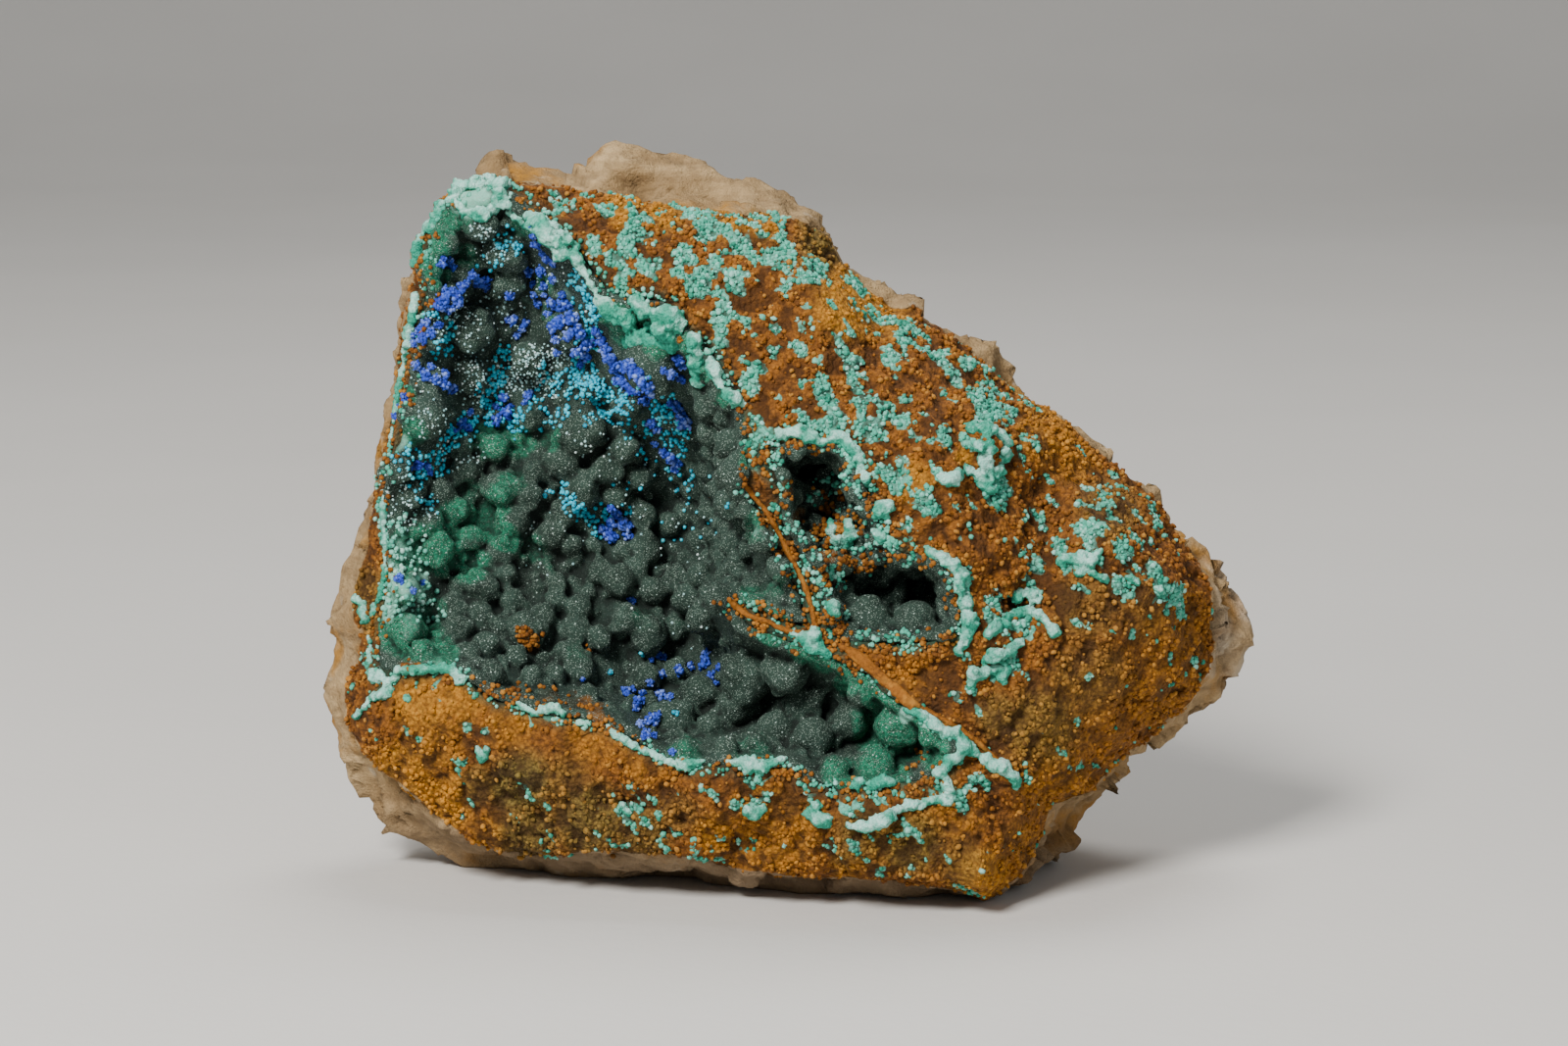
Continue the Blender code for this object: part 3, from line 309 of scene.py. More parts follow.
# Colour zones of the crust: (across, down, reach, share)
EMERALD_ZONES = (
    (438, 255, 30, 1.0), (446, 280, 22, 0.9), (458, 226, 18, 0.9), (476, 226, 16, 0.6),
    (500, 450, 26, 0.9), (530, 452, 22, 0.8), (560, 448, 16, 0.7), (508, 510, 24, 0.8),
    (520, 495, 22, 0.7), (500, 535, 26, 1.0), (515, 548, 22, 1.0), (470, 530, 30, 0.8),
    (450, 560, 34, 0.9), (420, 560, 30, 0.9), (480, 575, 26, 0.8), (400, 640, 30, 1.0),
    (425, 650, 34, 1.0), (450, 668, 24, 0.8), (405, 600, 30, 0.9), (388, 590, 20, 0.8),
    (440, 620, 22, 0.6), (545, 560, 20, 0.6), (560, 575, 16, 0.5), (590, 665, 20, 0.4),
    (690, 640, 24, 0.3), (640, 335, 24, 1.0), (672, 345, 26, 0.9), (700, 350, 14, 0.8),
    (624, 320, 18, 1.0), (715, 380, 14, 1.0), (740, 405, 14, 0.8), (760, 470, 14, 0.7),
    (840, 668, 26, 0.9), (870, 690, 26, 0.9), (900, 710, 26, 1.0), (890, 745, 30, 0.9),
    (925, 750, 34, 1.0), (900, 785, 34, 0.9), (860, 790, 26, 0.7), (950, 765, 22, 1.0),
    (790, 640, 26, 0.8), (770, 610, 22, 0.6), (790, 600, 20, 0.5), (770, 530, 16, 0.6),
    (700, 770, 24, 0.6), (770, 770, 30, 0.5), (655, 632, 22, 0.4), (560, 320, 14, 0.5),
    (555, 290, 16, 0.6), (475, 262, 20, 0.6), (412, 400, 16, 0.9), (420, 440, 20, 0.8),
    (770, 548, 14, 0.5), (820, 660, 20, 0.9), (480, 500, 18, 0.5), (535, 230, 20, 0.7),
)
PALE_ZONES = (
    (400, 590, 18, 0.7), (408, 560, 20, 0.5), (420, 600, 22, 0.6), (392, 620, 20, 0.7),
    (440, 420, 24, 0.3), (405, 450, 14, 0.5), (540, 300, 16, 0.4), (575, 300, 14, 0.4),
    (560, 545, 14, 0.2), (925, 728, 12, 0.8), (945, 735, 10, 0.9), (880, 760, 18, 0.2),
    (775, 545, 12, 0.4), (480, 200, 30, 0.8), (420, 640, 20, 0.4), (440, 672, 18, 0.4),
    (500, 690, 18, 0.25), (745, 455, 14, 0.25),
)
RUST_ZONES = (
    (540, 652, 12, 0.9), (534, 645, 9, 0.8), (546, 662, 8, 0.8), (595, 716, 9, 0.9),
    (608, 728, 12, 1.0), (530, 708, 14, 0.5), (560, 708, 14, 0.5), (585, 715, 12, 0.5),
    (500, 706, 12, 0.5), (600, 662, 6, 0.5), (940, 770, 8, 0.5), (930, 780, 8, 0.4),
    (800, 790, 12, 0.6), (760, 625, 10, 0.5), (780, 640, 10, 0.4), (845, 565, 10, 0.9),
    (850, 590, 9, 0.6), (862, 538, 7, 0.9), (800, 500, 10, 0.7), (815, 525, 9, 0.7),
    (450, 695, 14, 0.4), (416, 683, 12, 0.8),
)

# Blue crystal balls: (across, down, radius)
AZURITE_BALLS = (
    # Left wall
    (455, 305, 9), (447, 312, 7), (463, 300, 7), (468, 308, 6), (452, 296, 6), (460, 314, 6),
    (449, 270, 5), (458, 268, 5), (452, 262, 4), (463, 274, 4), (470, 295, 6), (476, 288, 4),
    (490, 290, 7), (498, 286, 5), (484, 284, 5), (496, 294, 4), (480, 280, 5), (435, 330, 6),
    (440, 340, 6), (433, 346, 6), (425, 350, 5), (447, 334, 5), (430, 338, 5), (424, 342, 4),
    (436, 384, 6), (444, 388, 6), (452, 391, 6), (460, 395, 6), (440, 376, 5), (430, 380, 4),
    (426, 372, 5), (452, 382, 5), (404, 425, 4), (415, 405, 5), (407, 415, 3), (427, 472, 6),
    (434, 476, 5), (420, 476, 4), (438, 484, 4),
    # Under the top rim
    (545, 240, 4), (548, 248, 5), (555, 258, 5), (560, 264, 5), (543, 232, 3), (566, 268, 4),
    (540, 276, 6), (554, 275, 6), (566, 284, 5), (545, 290, 4), (520, 300, 5), (525, 328, 6),
    (532, 335, 5), (519, 325, 4), (536, 328, 5), (528, 342, 4), (555, 292, 5), (550, 308, 5),
    (556, 300, 4), (546, 300, 4),
    # The mass in the middle and its chain
    (566, 308, 7), (574, 316, 8), (582, 326, 8), (572, 330, 7), (590, 338, 8), (580, 342, 7),
    (596, 350, 7), (588, 356, 7), (604, 348, 6), (576, 300, 5), (568, 345, 5), (600, 362, 6),
    (560, 320, 5), (564, 334, 6), (583, 312, 5), (570, 358, 5), (594, 370, 5), (610, 336, 6),
    (616, 346, 7), (620, 355, 7), (626, 364, 8), (632, 372, 7), (640, 376, 6), (628, 378, 5),
    (645, 372, 7), (650, 379, 8), (655, 386, 8), (660, 393, 7), (665, 400, 5), (632, 386, 6),
    (638, 390, 7), (645, 396, 7), (650, 400, 5), (654, 408, 5), (660, 410, 4), (690, 366, 7),
    (696, 372, 5), (683, 381, 6), (695, 384, 6), (676, 378, 4), (690, 418, 7), (686, 410, 5),
    (697, 431, 8), (694, 424, 6), (665, 430, 6), (670, 436, 5), (685, 465, 7), (678, 460, 5),
    (692, 470, 6), (690, 478, 5), (668, 452, 4),
    # Islands
    (633, 538, 9), (625, 546, 7), (618, 544, 6), (640, 548, 6), (622, 534, 6), (628, 524, 6),
    (624, 516, 5), (644, 534, 5), (612, 540, 5), (643, 613, 5), (408, 592, 6), (420, 602, 4),
    (432, 594, 3), (595, 692, 3), (512, 408, 6), (506, 416, 4), (516, 424, 7), (508, 428, 6),
    (520, 416, 5), (540, 405, 6), (536, 412, 4), (470, 432, 6), (476, 438, 5), (464, 440, 4),
    (478, 420, 4),
    # Lower pocket
    (675, 687, 5), (692, 684, 6), (703, 680, 5), (663, 696, 4), (675, 712, 7), (683, 713, 5),
    (670, 705, 3), (639, 707, 6), (645, 703, 4), (653, 715, 6), (656, 709, 4), (648, 721, 5),
    (666, 735, 7), (671, 730, 5), (654, 740, 5), (658, 750, 6), (666, 752, 4), (686, 768, 4),
    (719, 675, 7), (722, 668, 5), (727, 690, 5), (729, 697, 4), (716, 682, 3), (735, 682, 4),
    (670, 670, 5), (676, 671, 4), (664, 672, 3),
)

# Where the small bright grains lie: (across, down, reach across, reach down, how many)
CYAN_ZONES = (
    (588, 283, 10, 14, 26), (596, 300, 10, 14, 30), (604, 318, 9, 14, 26), (608, 335, 9, 12, 22),
    (600, 350, 12, 10, 20), (592, 372, 12, 12, 30), (600, 385, 14, 12, 40), (610, 398, 14, 12, 34),
    (620, 412, 18, 12, 36), (590, 400, 14, 10, 26), (605, 425, 18, 8, 20), (630, 400, 12, 12, 22),
    (635, 425, 14, 10, 12), (640, 410, 8, 8, 10), (655, 390, 8, 10, 8), (500, 410, 12, 14, 26),
    (508, 425, 12, 14, 30), (526, 430, 10, 14, 26), (535, 425, 8, 12, 16), (492, 398, 8, 8, 12),
    (470, 440, 14, 14, 40), (478, 428, 10, 10, 22), (455, 450, 12, 12, 22), (440, 468, 10, 10, 18),
    (430, 480, 12, 12, 20), (450, 480, 10, 10, 14), (415, 462, 12, 10, 14), (405, 475, 12, 10, 8),
    (430, 500, 12, 14, 12), (440, 515, 8, 10, 8), (520, 255, 12, 12, 20), (515, 240, 14, 10, 10),
    (500, 265, 12, 10, 8), (455, 350, 8, 16, 18), (458, 335, 6, 12, 12), (445, 360, 10, 10, 10),
    (440, 320, 8, 8, 10), (510, 375, 12, 16, 26), (515, 360, 10, 10, 14), (505, 390, 10, 10, 14),
    (560, 395, 14, 12, 16), (560, 375, 12, 10, 10), (575, 385, 10, 8, 14), (545, 410, 8, 10, 8),
    (560, 430, 12, 12, 16), (575, 420, 10, 10, 10), (680, 430, 14, 14, 30), (685, 415, 10, 12, 20),
    (690, 445, 12, 12, 20), (670, 420, 10, 10, 14), (700, 450, 8, 12, 10), (660, 440, 10, 10, 10),
    (640, 440, 12, 12, 8), (655, 460, 12, 12, 6), (690, 465, 14, 12, 8), (675, 480, 16, 12, 8),
    (700, 480, 12, 14, 6), (585, 512, 10, 12, 30), (578, 500, 8, 8, 14), (592, 522, 8, 8, 18),
    (605, 530, 10, 10, 14), (618, 522, 10, 10, 10), (560, 505, 8, 8, 6), (610, 545, 8, 8, 8),
    (640, 525, 8, 8, 6), (720, 520, 20, 40, 10), (690, 540, 16, 20, 6), (700, 505, 18, 18, 8),
    (640, 500, 20, 20, 6), (660, 668, 8, 3, 5), (690, 728, 6, 3, 4), (624, 686, 3, 3, 3),
)
FROST_ZONES = (
    (540, 375, 30, 24, 120), (525, 390, 18, 14, 50), (548, 365, 18, 14, 50), (560, 395, 16, 12, 30),
    (485, 395, 16, 20, 60), (480, 370, 14, 12, 30), (490, 235, 10, 8, 24), (500, 248, 14, 14, 30),
    (505, 262, 14, 10, 20), (455, 330, 14, 18, 24), (475, 330, 16, 20, 30), (440, 430, 22, 20, 40),
    (470, 465, 24, 16, 30), (410, 500, 20, 20, 30), (425, 525, 24, 16, 50), (520, 310, 20, 20, 24),
    (575, 365, 16, 12, 30), (600, 440, 30, 20, 20), (640, 470, 40, 30, 24), (700, 560, 30, 30, 14),
    (560, 560, 40, 30, 20), (640, 530, 20, 20, 14), (700, 640, 60, 30, 14), (590, 340, 20, 30, 30),
    (465, 310, 16, 14, 20), (440, 385, 20, 16, 24), (560, 280, 20, 20, 20), (500, 340, 30, 30, 30),
)
BEAD_ZONES = (
    (418, 590, 24, 40, 70), (405, 560, 14, 20, 24), (430, 620, 20, 20, 24), (400, 620, 10, 20, 14),
    (412, 530, 14, 16, 14),
)

# Mixed growth on the ledges between the two holes of the side hollow
SIDE_GROWTH_ZONES = (
    (846, 505, 18, 22, 90), (862, 540, 24, 22, 130), (880, 570, 22, 14, 90),
    (838, 555, 14, 26, 80), (850, 590, 14, 20, 70), (905, 545, 12, 12, 50),
    (868, 480, 12, 20, 60), (858, 630, 12, 14, 40),
)

# Thin fins of limonite: (across, down) along each crest
FIN_RUNS = (
    ((759, 494), (770, 507), (783, 522), (794, 542), (804, 563), (813, 580), (821, 596),
     (826, 610), (829, 624), (832, 636), (835, 648)),
    ((744, 612), (754, 621), (764, 628), (775, 632), (785, 634), (796, 641), (807, 645),
     (817, 645), (826, 647)),
    ((858, 660), (872, 664), (884, 672), (896, 684), (908, 694), (920, 705), (934, 718),
     (950, 727), (968, 737), (986, 748), (1003, 762), (1020, 778), (1036, 796)),
    ((868, 668), (880, 678), (892, 688), (904, 699), (916, 710), (930, 723)),
)


class Slot(Enum):
    """Names of material slots."""

    ROCK = "limonite_rock"
    CRUST = "green_crust"


class Salt(IntEnum):
    """Noise fields, each picked by its own number."""

    SKIN_EDGE = 5
    SKIN_LUMPS = 7
    STRAY_ACROSS = 11
    STRAY_DOWN = 15
    STREAKS = 21
    BLEACH = 25
    BLOOM = 26
    LAYERS = 33
    PITS = 35
    RIDGES = 37
    SKIN_GRAINS = 41
    CLUMPS = 51
    CHIPS = 60
    CHIP_LEANS = 80
    FIN_TONE = 93


class Tone(str, Enum):
    """Screen colours of the finishes, in six hexadecimal digits."""

    RUST_DARK = "54310F"
    RUST = "84501A"
    RUST_LIGHT = "9A6020"
    OCHRE = "985E10"
    OCHRE_LIGHT = "D0922C"
    OLIVE = "4A401B"
    OLIVE_LIGHT = "837237"
    CRUMB_DARK = "4A2A0E"
    CRUMB_PALE = "C98F3E"
    TAN = "A2845A"
    TAN_LIGHT = "CBAE82"
    TAN_GRAIN = "735C3E"
    # Painted shade low on the tan rock's front
    TAN_PAINTED_SHADE = "746350"
    LAYER_BROWN = "7F6544"
    OCHRE_STAIN = "B07C2C"
    CHALK = "DDD0B8"
    BLEACHED = "D6CBB8"
    VEIL_TEAL = "2F9C82"
    VEIL_PALE = "8FD8C4"
    WALL_GREEN = "28503F"
    # Painted shade of the gaps between limonite clumps
    GAP_SHADE_BROWN = "2E1A09"
    # Painted shade of the rock's clefts
    CLEFT_SHADE_BROWN = "2A1A0A"
    # Painted shade between limonite grains
    GRAIN_GAP_SHADE = "3A220C"
    CRUST_DARK = "15241E"
    CRUST_GREY = "364F45"
    CRUST_MOSS = "2B4036"
    CRUST_PALE = "8CCDB8"
    CRUST_RUST = "6E4A20"
    # Painted shade of the crust's clefts
    CRUST_CLEFT_SHADE = "060D0A"
    EMERALD_DARK = "0A4530"
    EMERALD = "1F8262"
    DUST = "93A599"
    # Painted glints on the crust
    GLINT = "C9E0D6"
    VELVET_DEEP = "17836A"
    VELVET_GREEN = "3FB295"
    # Painted shade of the velvet's clefts
    VELVET_CLEFT_SHADE = "0C4A3A"
    BLOOM = "7CCFBB"
    BLOOM_PALE = "C2EBDF"
    CARD_DIM = "CFCDC9"
    CARD = "D6D4D0"


def linear(code: str) -> tuple[float, float, float, float]:
    """Scene colour of a six-digit screen colour.

    Args:
        code: The colour's six hexadecimal digits.

    Returns:
        Red, green and blue in linear light, and an alpha of one.
    """
    parts = [int(code[at:at + 2], 16) / 255 for at in (0, 2, 4)]
    lit = [v / 12.92 if v <= 0.04045 else ((v + 0.055) / 1.055) ** 2.4 for v in parts]
    return lit[0], lit[1], lit[2], 1.0


def ease(values: Array, low: float, high: float) -> Array:
    """Smooth climb from zero at low to one at high."""
    share = np.clip((values - low) / (high - low), 0.0, 1.0)
    return share * share * (3.0 - 2.0 * share)


def scrambled(cells: Array, salt: int) -> Array:
    """A steady random number from 0 to 1 for each whole-number cell.

    Args:
        cells: Whole numbers, shape (..., 3).
        salt: Picks one of many such fields.

    Returns:
        One number for each cell.
    """
    mixed = cells.astype(np.uint64) * np.array(CELL_PRIMES, np.uint64)
    value = (mixed[..., 0] ^ mixed[..., 1] ^ mixed[..., 2]) + np.uint64(salt * SALT_STEP)
    for shift in MIX_SHIFTS:
        value = (value ^ (value >> np.uint64(shift))) * np.uint64(MIX_FACTOR)
        value &= np.uint64(WORD_MASK)
    return value.astype(float) / WORD_MASK


def wavy(points: Array, size: float, salt: int) -> Array:
    """Smooth noise from -1 to 1, with waves of a size.

    Args:
        points: Places in metres, shape (n, 3).
        size: Length of a wave in metres.
        salt: Picks one of many such fields.

    Returns:
        One number for each place.
    """
    spots = points / size + CELL_SHIFT
    cells = np.floor(spots).astype(np.int64)
    part = spots - cells
    part = part * part * (3.0 - 2.0 * part)
    total = np.zeros(len(points))
    for corner in product((0, 1), repeat=3):
        weight = np.prod(np.where(corner, part, 1.0 - part), axis=1)
        total += weight * scrambled(cells + np.array(corner), salt)
    return total * 2.0 - 1.0


def rough(points: Array, size: float, salt: int, octaves: int = 3) -> Array:
    """Sum of wavy noise, each octave half the size and the height of the last."""
    return sum(wavy(points, size / 2 ** k, salt + k) / 2 ** k for k in range(octaves))


def clumped(points: Array) -> Array:
    """Where crumbs gather, from -1 in the gaps to 1 on the clumps."""
    return 0.8 * rough(points, 1.7 * MM, Salt.CLUMPS, 2)


def streaked(points: Array) -> Array:
    """Patchy noise from -1 to 1, drawn out down the slope of the right shoulder."""
    along = np.array(STREAK_WAY)
    drawn = points - 0.5 * (points @ along)[:, None] * along
    return 0.62 * rough(drawn, 1.5 * MM, Salt.STREAKS, 4)


def pebbled(points: Array, size: float, salt: int) -> tuple[Array, Array]:
    """Distance to the nearest of scattered centres, and that centre's offset.

    Args:
        points: Places in metres, shape (n, 3).
        size: Mean spacing of the centres in metres.
        salt: Picks one of many such fields.

    Returns:
        Distances in spacings, and each place's vector from its centre, in spacings.
    """
    spots = points / size + CELL_SHIFT
    cells = np.floor(spots).astype(np.int64)
    best = np.full(len(points), np.inf)
    offset = np.zeros((len(points), 3))
    for step in product((-1, 0, 1), repeat=3):
        near = cells + np.array(step)
        jitter = np.stack([scrambled(near, salt + k) for k in range(3)], axis=1)
        away = spots - near - jitter
        gap = np.linalg.norm(away, axis=1)
        closer = gap < best
        best = np.where(closer, gap, best)
        offset[closer] = away[closer]
    return best, offset


@dataclass(frozen=True)
class FrontView:
    """The front view that all places are read in, and the camera that sees it.

    Attributes:
        width: Picture points across.
        height: Picture points down.
        length: Real length of the specimen's outline.
        span: Points that the outline runs across.
        edge_depth: Depth of the outline's ends behind the view's middle.
        sight: Distance from the eye to the view's middle.
        lean: Angle that the eye looks down by.
        middle: World place of the view's middle.
        sensor: Width of the camera's sensor in millimetres.
    """

    width: int = 1600
    height: int = 1067
    length: float = 0.120
    span: float = 939.0
    edge_depth: float = -0.015
    sight: float = 0.5556
    lean: float = math.radians(10.0)
    middle: tuple[float, float, float] = (-0.000634, -0.014051, 0.0481405)
    sensor: float = 36.0

    @property
    def pitch(self) -> float:
        """Metres for one picture point at the view's middle depth."""
        return self.length / self.span / (1.0 - self.edge_depth / self.sight)

    @property
    def up(self) -> Array:
        """Direction up the picture."""
        return np.array((0.0, math.sin(self.lean), math.cos(self.lean)))

    @property
    def toward(self) -> Array:
        """Direction from the view's middle to the eye."""
        return np.array((0.0, -math.cos(self.lean), math.sin(self.lean)))

    @property
    def eye(self) -> Vector:
        """World place of the eye."""
        return Vector(np.array(self.middle) + self.toward * self.sight)

    def line(self, across: float, down: float) -> Vector:
        """Direction of the sight line through a picture point."""
        right = np.array((1.0, 0.0, 0.0))
        flat = np.array(self.middle) + right * (across - self.width / 2) * self.pitch
        flat = flat + self.up * (self.height / 2 - down) * self.pitch
        return (Vector(flat) - self.eye).normalized()

    def locate(self, points: Array) -> Array:
        """Picture places of world points.

        Args:
            points: World places, shape (n, 3).

        Returns:
            Across and down in points, and depth in metres, shape (n, 3).
        """
        local = points - np.array(self.middle)
        depth = local @ self.toward
        spread = (1.0 - depth / self.sight) * self.pitch
        across = local[:, 0] / spread + self.width / 2
        down = self.height / 2 - (local @ self.up) / spread
        return np.column_stack((across, down, depth))


VIEW = FrontView()


def inset(spots: Array, outline: tuple) -> Array:
    """Distance of picture places to an outline, positive inside it."""
    corners = np.array(outline, float)
    best = np.full(len(spots), np.inf)
    inside = np.zeros(len(spots), dtype=bool)
    for start, end in zip(corners, np.roll(corners, -1, axis=0)):
        run = end - start
        along = np.clip((spots - start) @ run / (run @ run), 0.0, 1.0)
        best = np.minimum(best, np.linalg.norm(spots - start - along[:, None] * run, axis=1))
        crosses = (start[1] > spots[:, 1]) != (end[1] > spots[:, 1])
        rise = run[1] if abs(run[1]) > 1e-9 else 1e-9
        inside ^= crosses & (spots[:, 0] < start[0] + (spots[:, 1] - start[1]) / rise * run[0])
    return np.where(inside, best, -best)


def zone_share(spots: Array, zones: tuple) -> Array:
    """Strongest share of any zone at each picture place, fading at its edge."""
    total = np.zeros(len(spots))
    for across, down, reach, share in zones:
        gap = np.hypot(spots[:, 0] - across, spots[:, 1] - down) / reach
        total = np.maximum(total, share * (1.0 - ease(gap, *ZONE_FADE)))
    return total


def wandering(points: Array) -> Array:
    """Picture places of world points, strayed a little so that zones get ragged edges."""
    stray = np.column_stack([rough(points, 2.5 * MM, salt)
                             for salt in (Salt.STRAY_ACROSS, Salt.STRAY_DOWN)])
    return VIEW.locate(points)[:, :2] + 4.0 * stray


def coordinates(obj: Object) -> Array:
    """Vertex places of an object's mesh, shape (n, 3)."""
    flat = np.empty(len(obj.data.vertices) * 3)
    obj.data.vertices.foreach_get("co", flat)
    return flat.reshape(-1, 3)


def normals(obj: Object) -> Array:
    """Vertex normals of an object's mesh, shape (n, 3)."""
    flat = np.empty(len(obj.data.vertices) * 3)
    obj.data.vertices.foreach_get("normal", flat)
    return flat.reshape(-1, 3)


def set_coordinates(obj: Object, points: Array) -> None:
    """Move an object's vertices to new places."""
    obj.data.vertices.foreach_set("co", np.ascontiguousarray(points, np.float32).ravel())
    obj.data.update()


def set_attribute(obj: Object, name: str, values: Array) -> None:
    """Give each vertex of an object a number that its material reads."""
    layer = obj.data.attributes.new(name, "FLOAT", "POINT")
    layer.data.foreach_set("value", np.ascontiguousarray(values, np.float32))


def paint_zones(obj: Object, spots: Array, **zones: tuple) -> None:
    """Give each vertex its share of zones.

    Args:
        obj: The piece.
        spots: Picture places of its vertices.
        zones: The zones, under the names that its material reads.
    """
    for name, places in zones.items():
        set_attribute(obj, name, zone_share(spots, places))


def raise_by(obj: Object, heights: Array) -> None:
    """Move each vertex along its normal by its own height."""
    set_coordinates(obj, coordinates(obj) + normals(obj) * heights[:, None])


def granulate(obj: Object, sizes: tuple[float, float],
              heights: tuple[float, float], seed: int) -> None:
    """Cover a piece with small granules on a low swell.

    Args:
        obj: The piece.
        sizes: Spacing of the granules and length of the swell, in millimetres.
        heights: Height of the granules and of the swell, in millimetres.
        seed: Picks their places.
    """
    points = coordinates(obj)
    gap, _ = pebbled(points, sizes[0] * MM, seed)
    swell = rough(points, sizes[1] * MM, seed + 5)
    raise_by(obj, heights[0] * MM * (0.5 - gap) + heights[1] * MM * swell)


def triangles(obj: Object) -> Array:
    """Vertex numbers of an object's triangles, shape (n, 3)."""
    obj.data.calc_loop_triangles()
    flat = np.empty(len(obj.data.loop_triangles) * 3, np.int32)
    obj.data.loop_triangles.foreach_get("vertices", flat)
    return flat.reshape(-1, 3)


def work_on(obj: Object) -> None:
    """Select one object alone and make it active."""
    bpy.ops.object.select_all(action="DESELECT")
    obj.select_set(True)
    bpy.context.view_layer.objects.active = obj


def finish_modifier(obj: Object, kind: str, **settings: object) -> None:
    """Add a modifier with its settings and apply it at once."""
    work_on(obj)
    step = obj.modifiers.new(kind.lower(), kind)
    for key, value in settings.items():
        setattr(step, key, value)
    bpy.ops.object.modifier_apply(modifier=step.name)


def fine_copy(node: str, name: str, voxel: float, rounds: int) -> Object:
    """Finely meshed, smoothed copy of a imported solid.

    Args:
        node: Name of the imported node.
        name: Name of the new piece.
        voxel: Size of the new mesh's faces in metres.
        rounds: How many times the facets are smoothed.

    Returns:
        The new object.
    """
    obj = bpy.data.objects.new(name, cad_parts[node].data.copy())
    bpy.context.scene.collection.objects.link(obj)
    obj.data.name = name
    obj.data.materials.clear()
    work_on(obj)
    bpy.ops.object.mode_set(mode="EDIT")
    bpy.ops.mesh.select_all(action="SELECT")
    bpy.ops.mesh.remove_doubles(threshold=WELD_DISTANCE)
    bpy.ops.object.mode_set(mode="OBJECT")
    finish_modifier(obj, "REMESH", mode="VOXEL", voxel_size=voxel)
    finish_modifier(obj, "SMOOTH", factor=0.5, iterations=rounds)
    return obj


def weight_group(obj: Object, name: str, weights: Array) -> None:
    """Give an object a vertex group, in steps of weight."""
    group = obj.vertex_groups.new(name=name)
    steps = np.rint(weights * WEIGHT_STEPS).astype(int)
    for step in range(1, WEIGHT_STEPS + 1):
        group.add(np.nonzero(steps == step)[0].tolist(), step / WEIGHT_STEPS, "REPLACE")


def thin_hidden(obj: Object, hidden: Array, most: int) -> None:
    """Fewer faces where a surface is hidden or plain, to at most so many triangles."""
    count = len(triangles(obj))
    if count <= most:
        return
    weight_group(obj, "plain", np.clip(hidden, LEAST_WEIGHT, 1.0))
    finish_modifier(obj, "DECIMATE", ratio=most / count, vertex_group="plain",
                    vertex_group_factor=1.0)
    obj.vertex_groups.clear()


def hollowness(obj: Object, rounds: int) -> Array:
    """How far each vertex lies below its neighbourhood, from 0 on a crest to 1 in a cleft.

    Args:
        obj: The object to read.
        rounds: How far the neighbourhood reaches, in steps from vertex to vertex.

    Returns:
        One number for each vertex.
    """
    points = coordinates(obj)
    outward = normals(obj)
    pairs = np.empty(len(obj.data.edges) * 2, np.int32)
    obj.data.edges.foreach_get("vertices", pairs)
    first, second = pairs.reshape(-1, 2).T
    links = np.bincount(first, minlength=len(points)) + np.bincount(second, minlength=len(points))
    links = np.maximum(links, 1)[:, None]
    level = points.copy()
    for _ in range(rounds):
        total = np.zeros_like(level)
        for axis in range(3):
            total[:, axis] = np.bincount(first, level[second, axis], len(points))
            total[:, axis] += np.bincount(second, level[first, axis], len(points))
        level = 0.5 * level + 0.5 * total / links
    rise = np.sum((level - points) * outward, axis=1)
    return np.clip(rise / (2.0 * np.std(rise) + 1e-9), 0.0, 1.0)


class Surface:
    """Meshes that sight lines are cast on."""

    def __init__(self, *pieces: Object) -> None:
        """Gather the pieces' triangles into one search tree."""
        places: list = []
        corners: list = []
        for piece in pieces:
            corners += (triangles(piece) + len(places)).tolist()
            places += coordinates(piece).tolist()
        self.tree = BVHTree.FromPolygons(places, corners)

    def gaps(self, points: Array) -> Array:
        """Distance from each place to the surface."""
        return np.array([self.tree.find_nearest(Vector(place))[3] for place in points])

    def meet(self, across: float, down: float) -> tuple[Vector, Vector] | None:
        """Place and normal where the sight line of a picture point first meets the surface."""
        place, normal, _, _ = self.tree.ray_cast(VIEW.eye, VIEW.line(across, down))
        return None if place is None else (place, normal)


@dataclass(frozen=True)
class Speck:
    """A small shape that is copied many times: its vertices and its faces."""

    points: Array
    faces: Array


def ball_speck(level: int, bumpy: float, seed: int) -> Speck:
    """Lumpy ball of radius one, modelled once for all its copies.

    Args:
        level: Subdivisions of the ball.
        bumpy: How uneven it is.
        seed: Picks the unevenness.

    Returns:
        The ball's shape.
    """
    bpy.ops.object.select_all(action="DESELECT")
    bpy.ops.mesh.primitive_ico_sphere_add(subdivisions=level, radius=1.0)
    obj = bpy.context.object
    points = coordinates(obj)
    length = 1.0 + bumpy * np.random.default_rng(seed).uniform(-1.0, 1.0, len(points))
    shape = Speck(points * length[:, None], triangles(obj).copy())
    mesh = obj.data
    bpy.data.objects.remove(obj)
    bpy.data.meshes.remove(mesh)
    return shape


def ball_specks(count: int, bumpy: float, seed: int) -> tuple[Speck, ...]:
    """Several small lumpy balls, each uneven in its own way."""
    return tuple(ball_speck(1, bumpy, seed + k) for k in range(count))


def random_turns(count: int, rng: Random) -> Array:
    """Evenly random rotations, shape (count, 3, 3)."""
    quads = rng.normal(size=(count, 4))
    quads /= np.linalg.norm(quads, axis=1)[:, None]
    w, x, y, z = quads.T
    rows = (
        (1 - 2 * (y * y + z * z), 2 * (x * y - z * w), 2 * (x * z + y * w)),
        (2 * (x * y + z * w), 1 - 2 * (x * x + z * z), 2 * (y * z - x * w)),
        (2 * (x * z - y * w), 2 * (y * z + x * w), 1 - 2 * (x * x + y * y)),
    )
    return np.stack([np.stack(row, axis=1) for row in rows], axis=1)


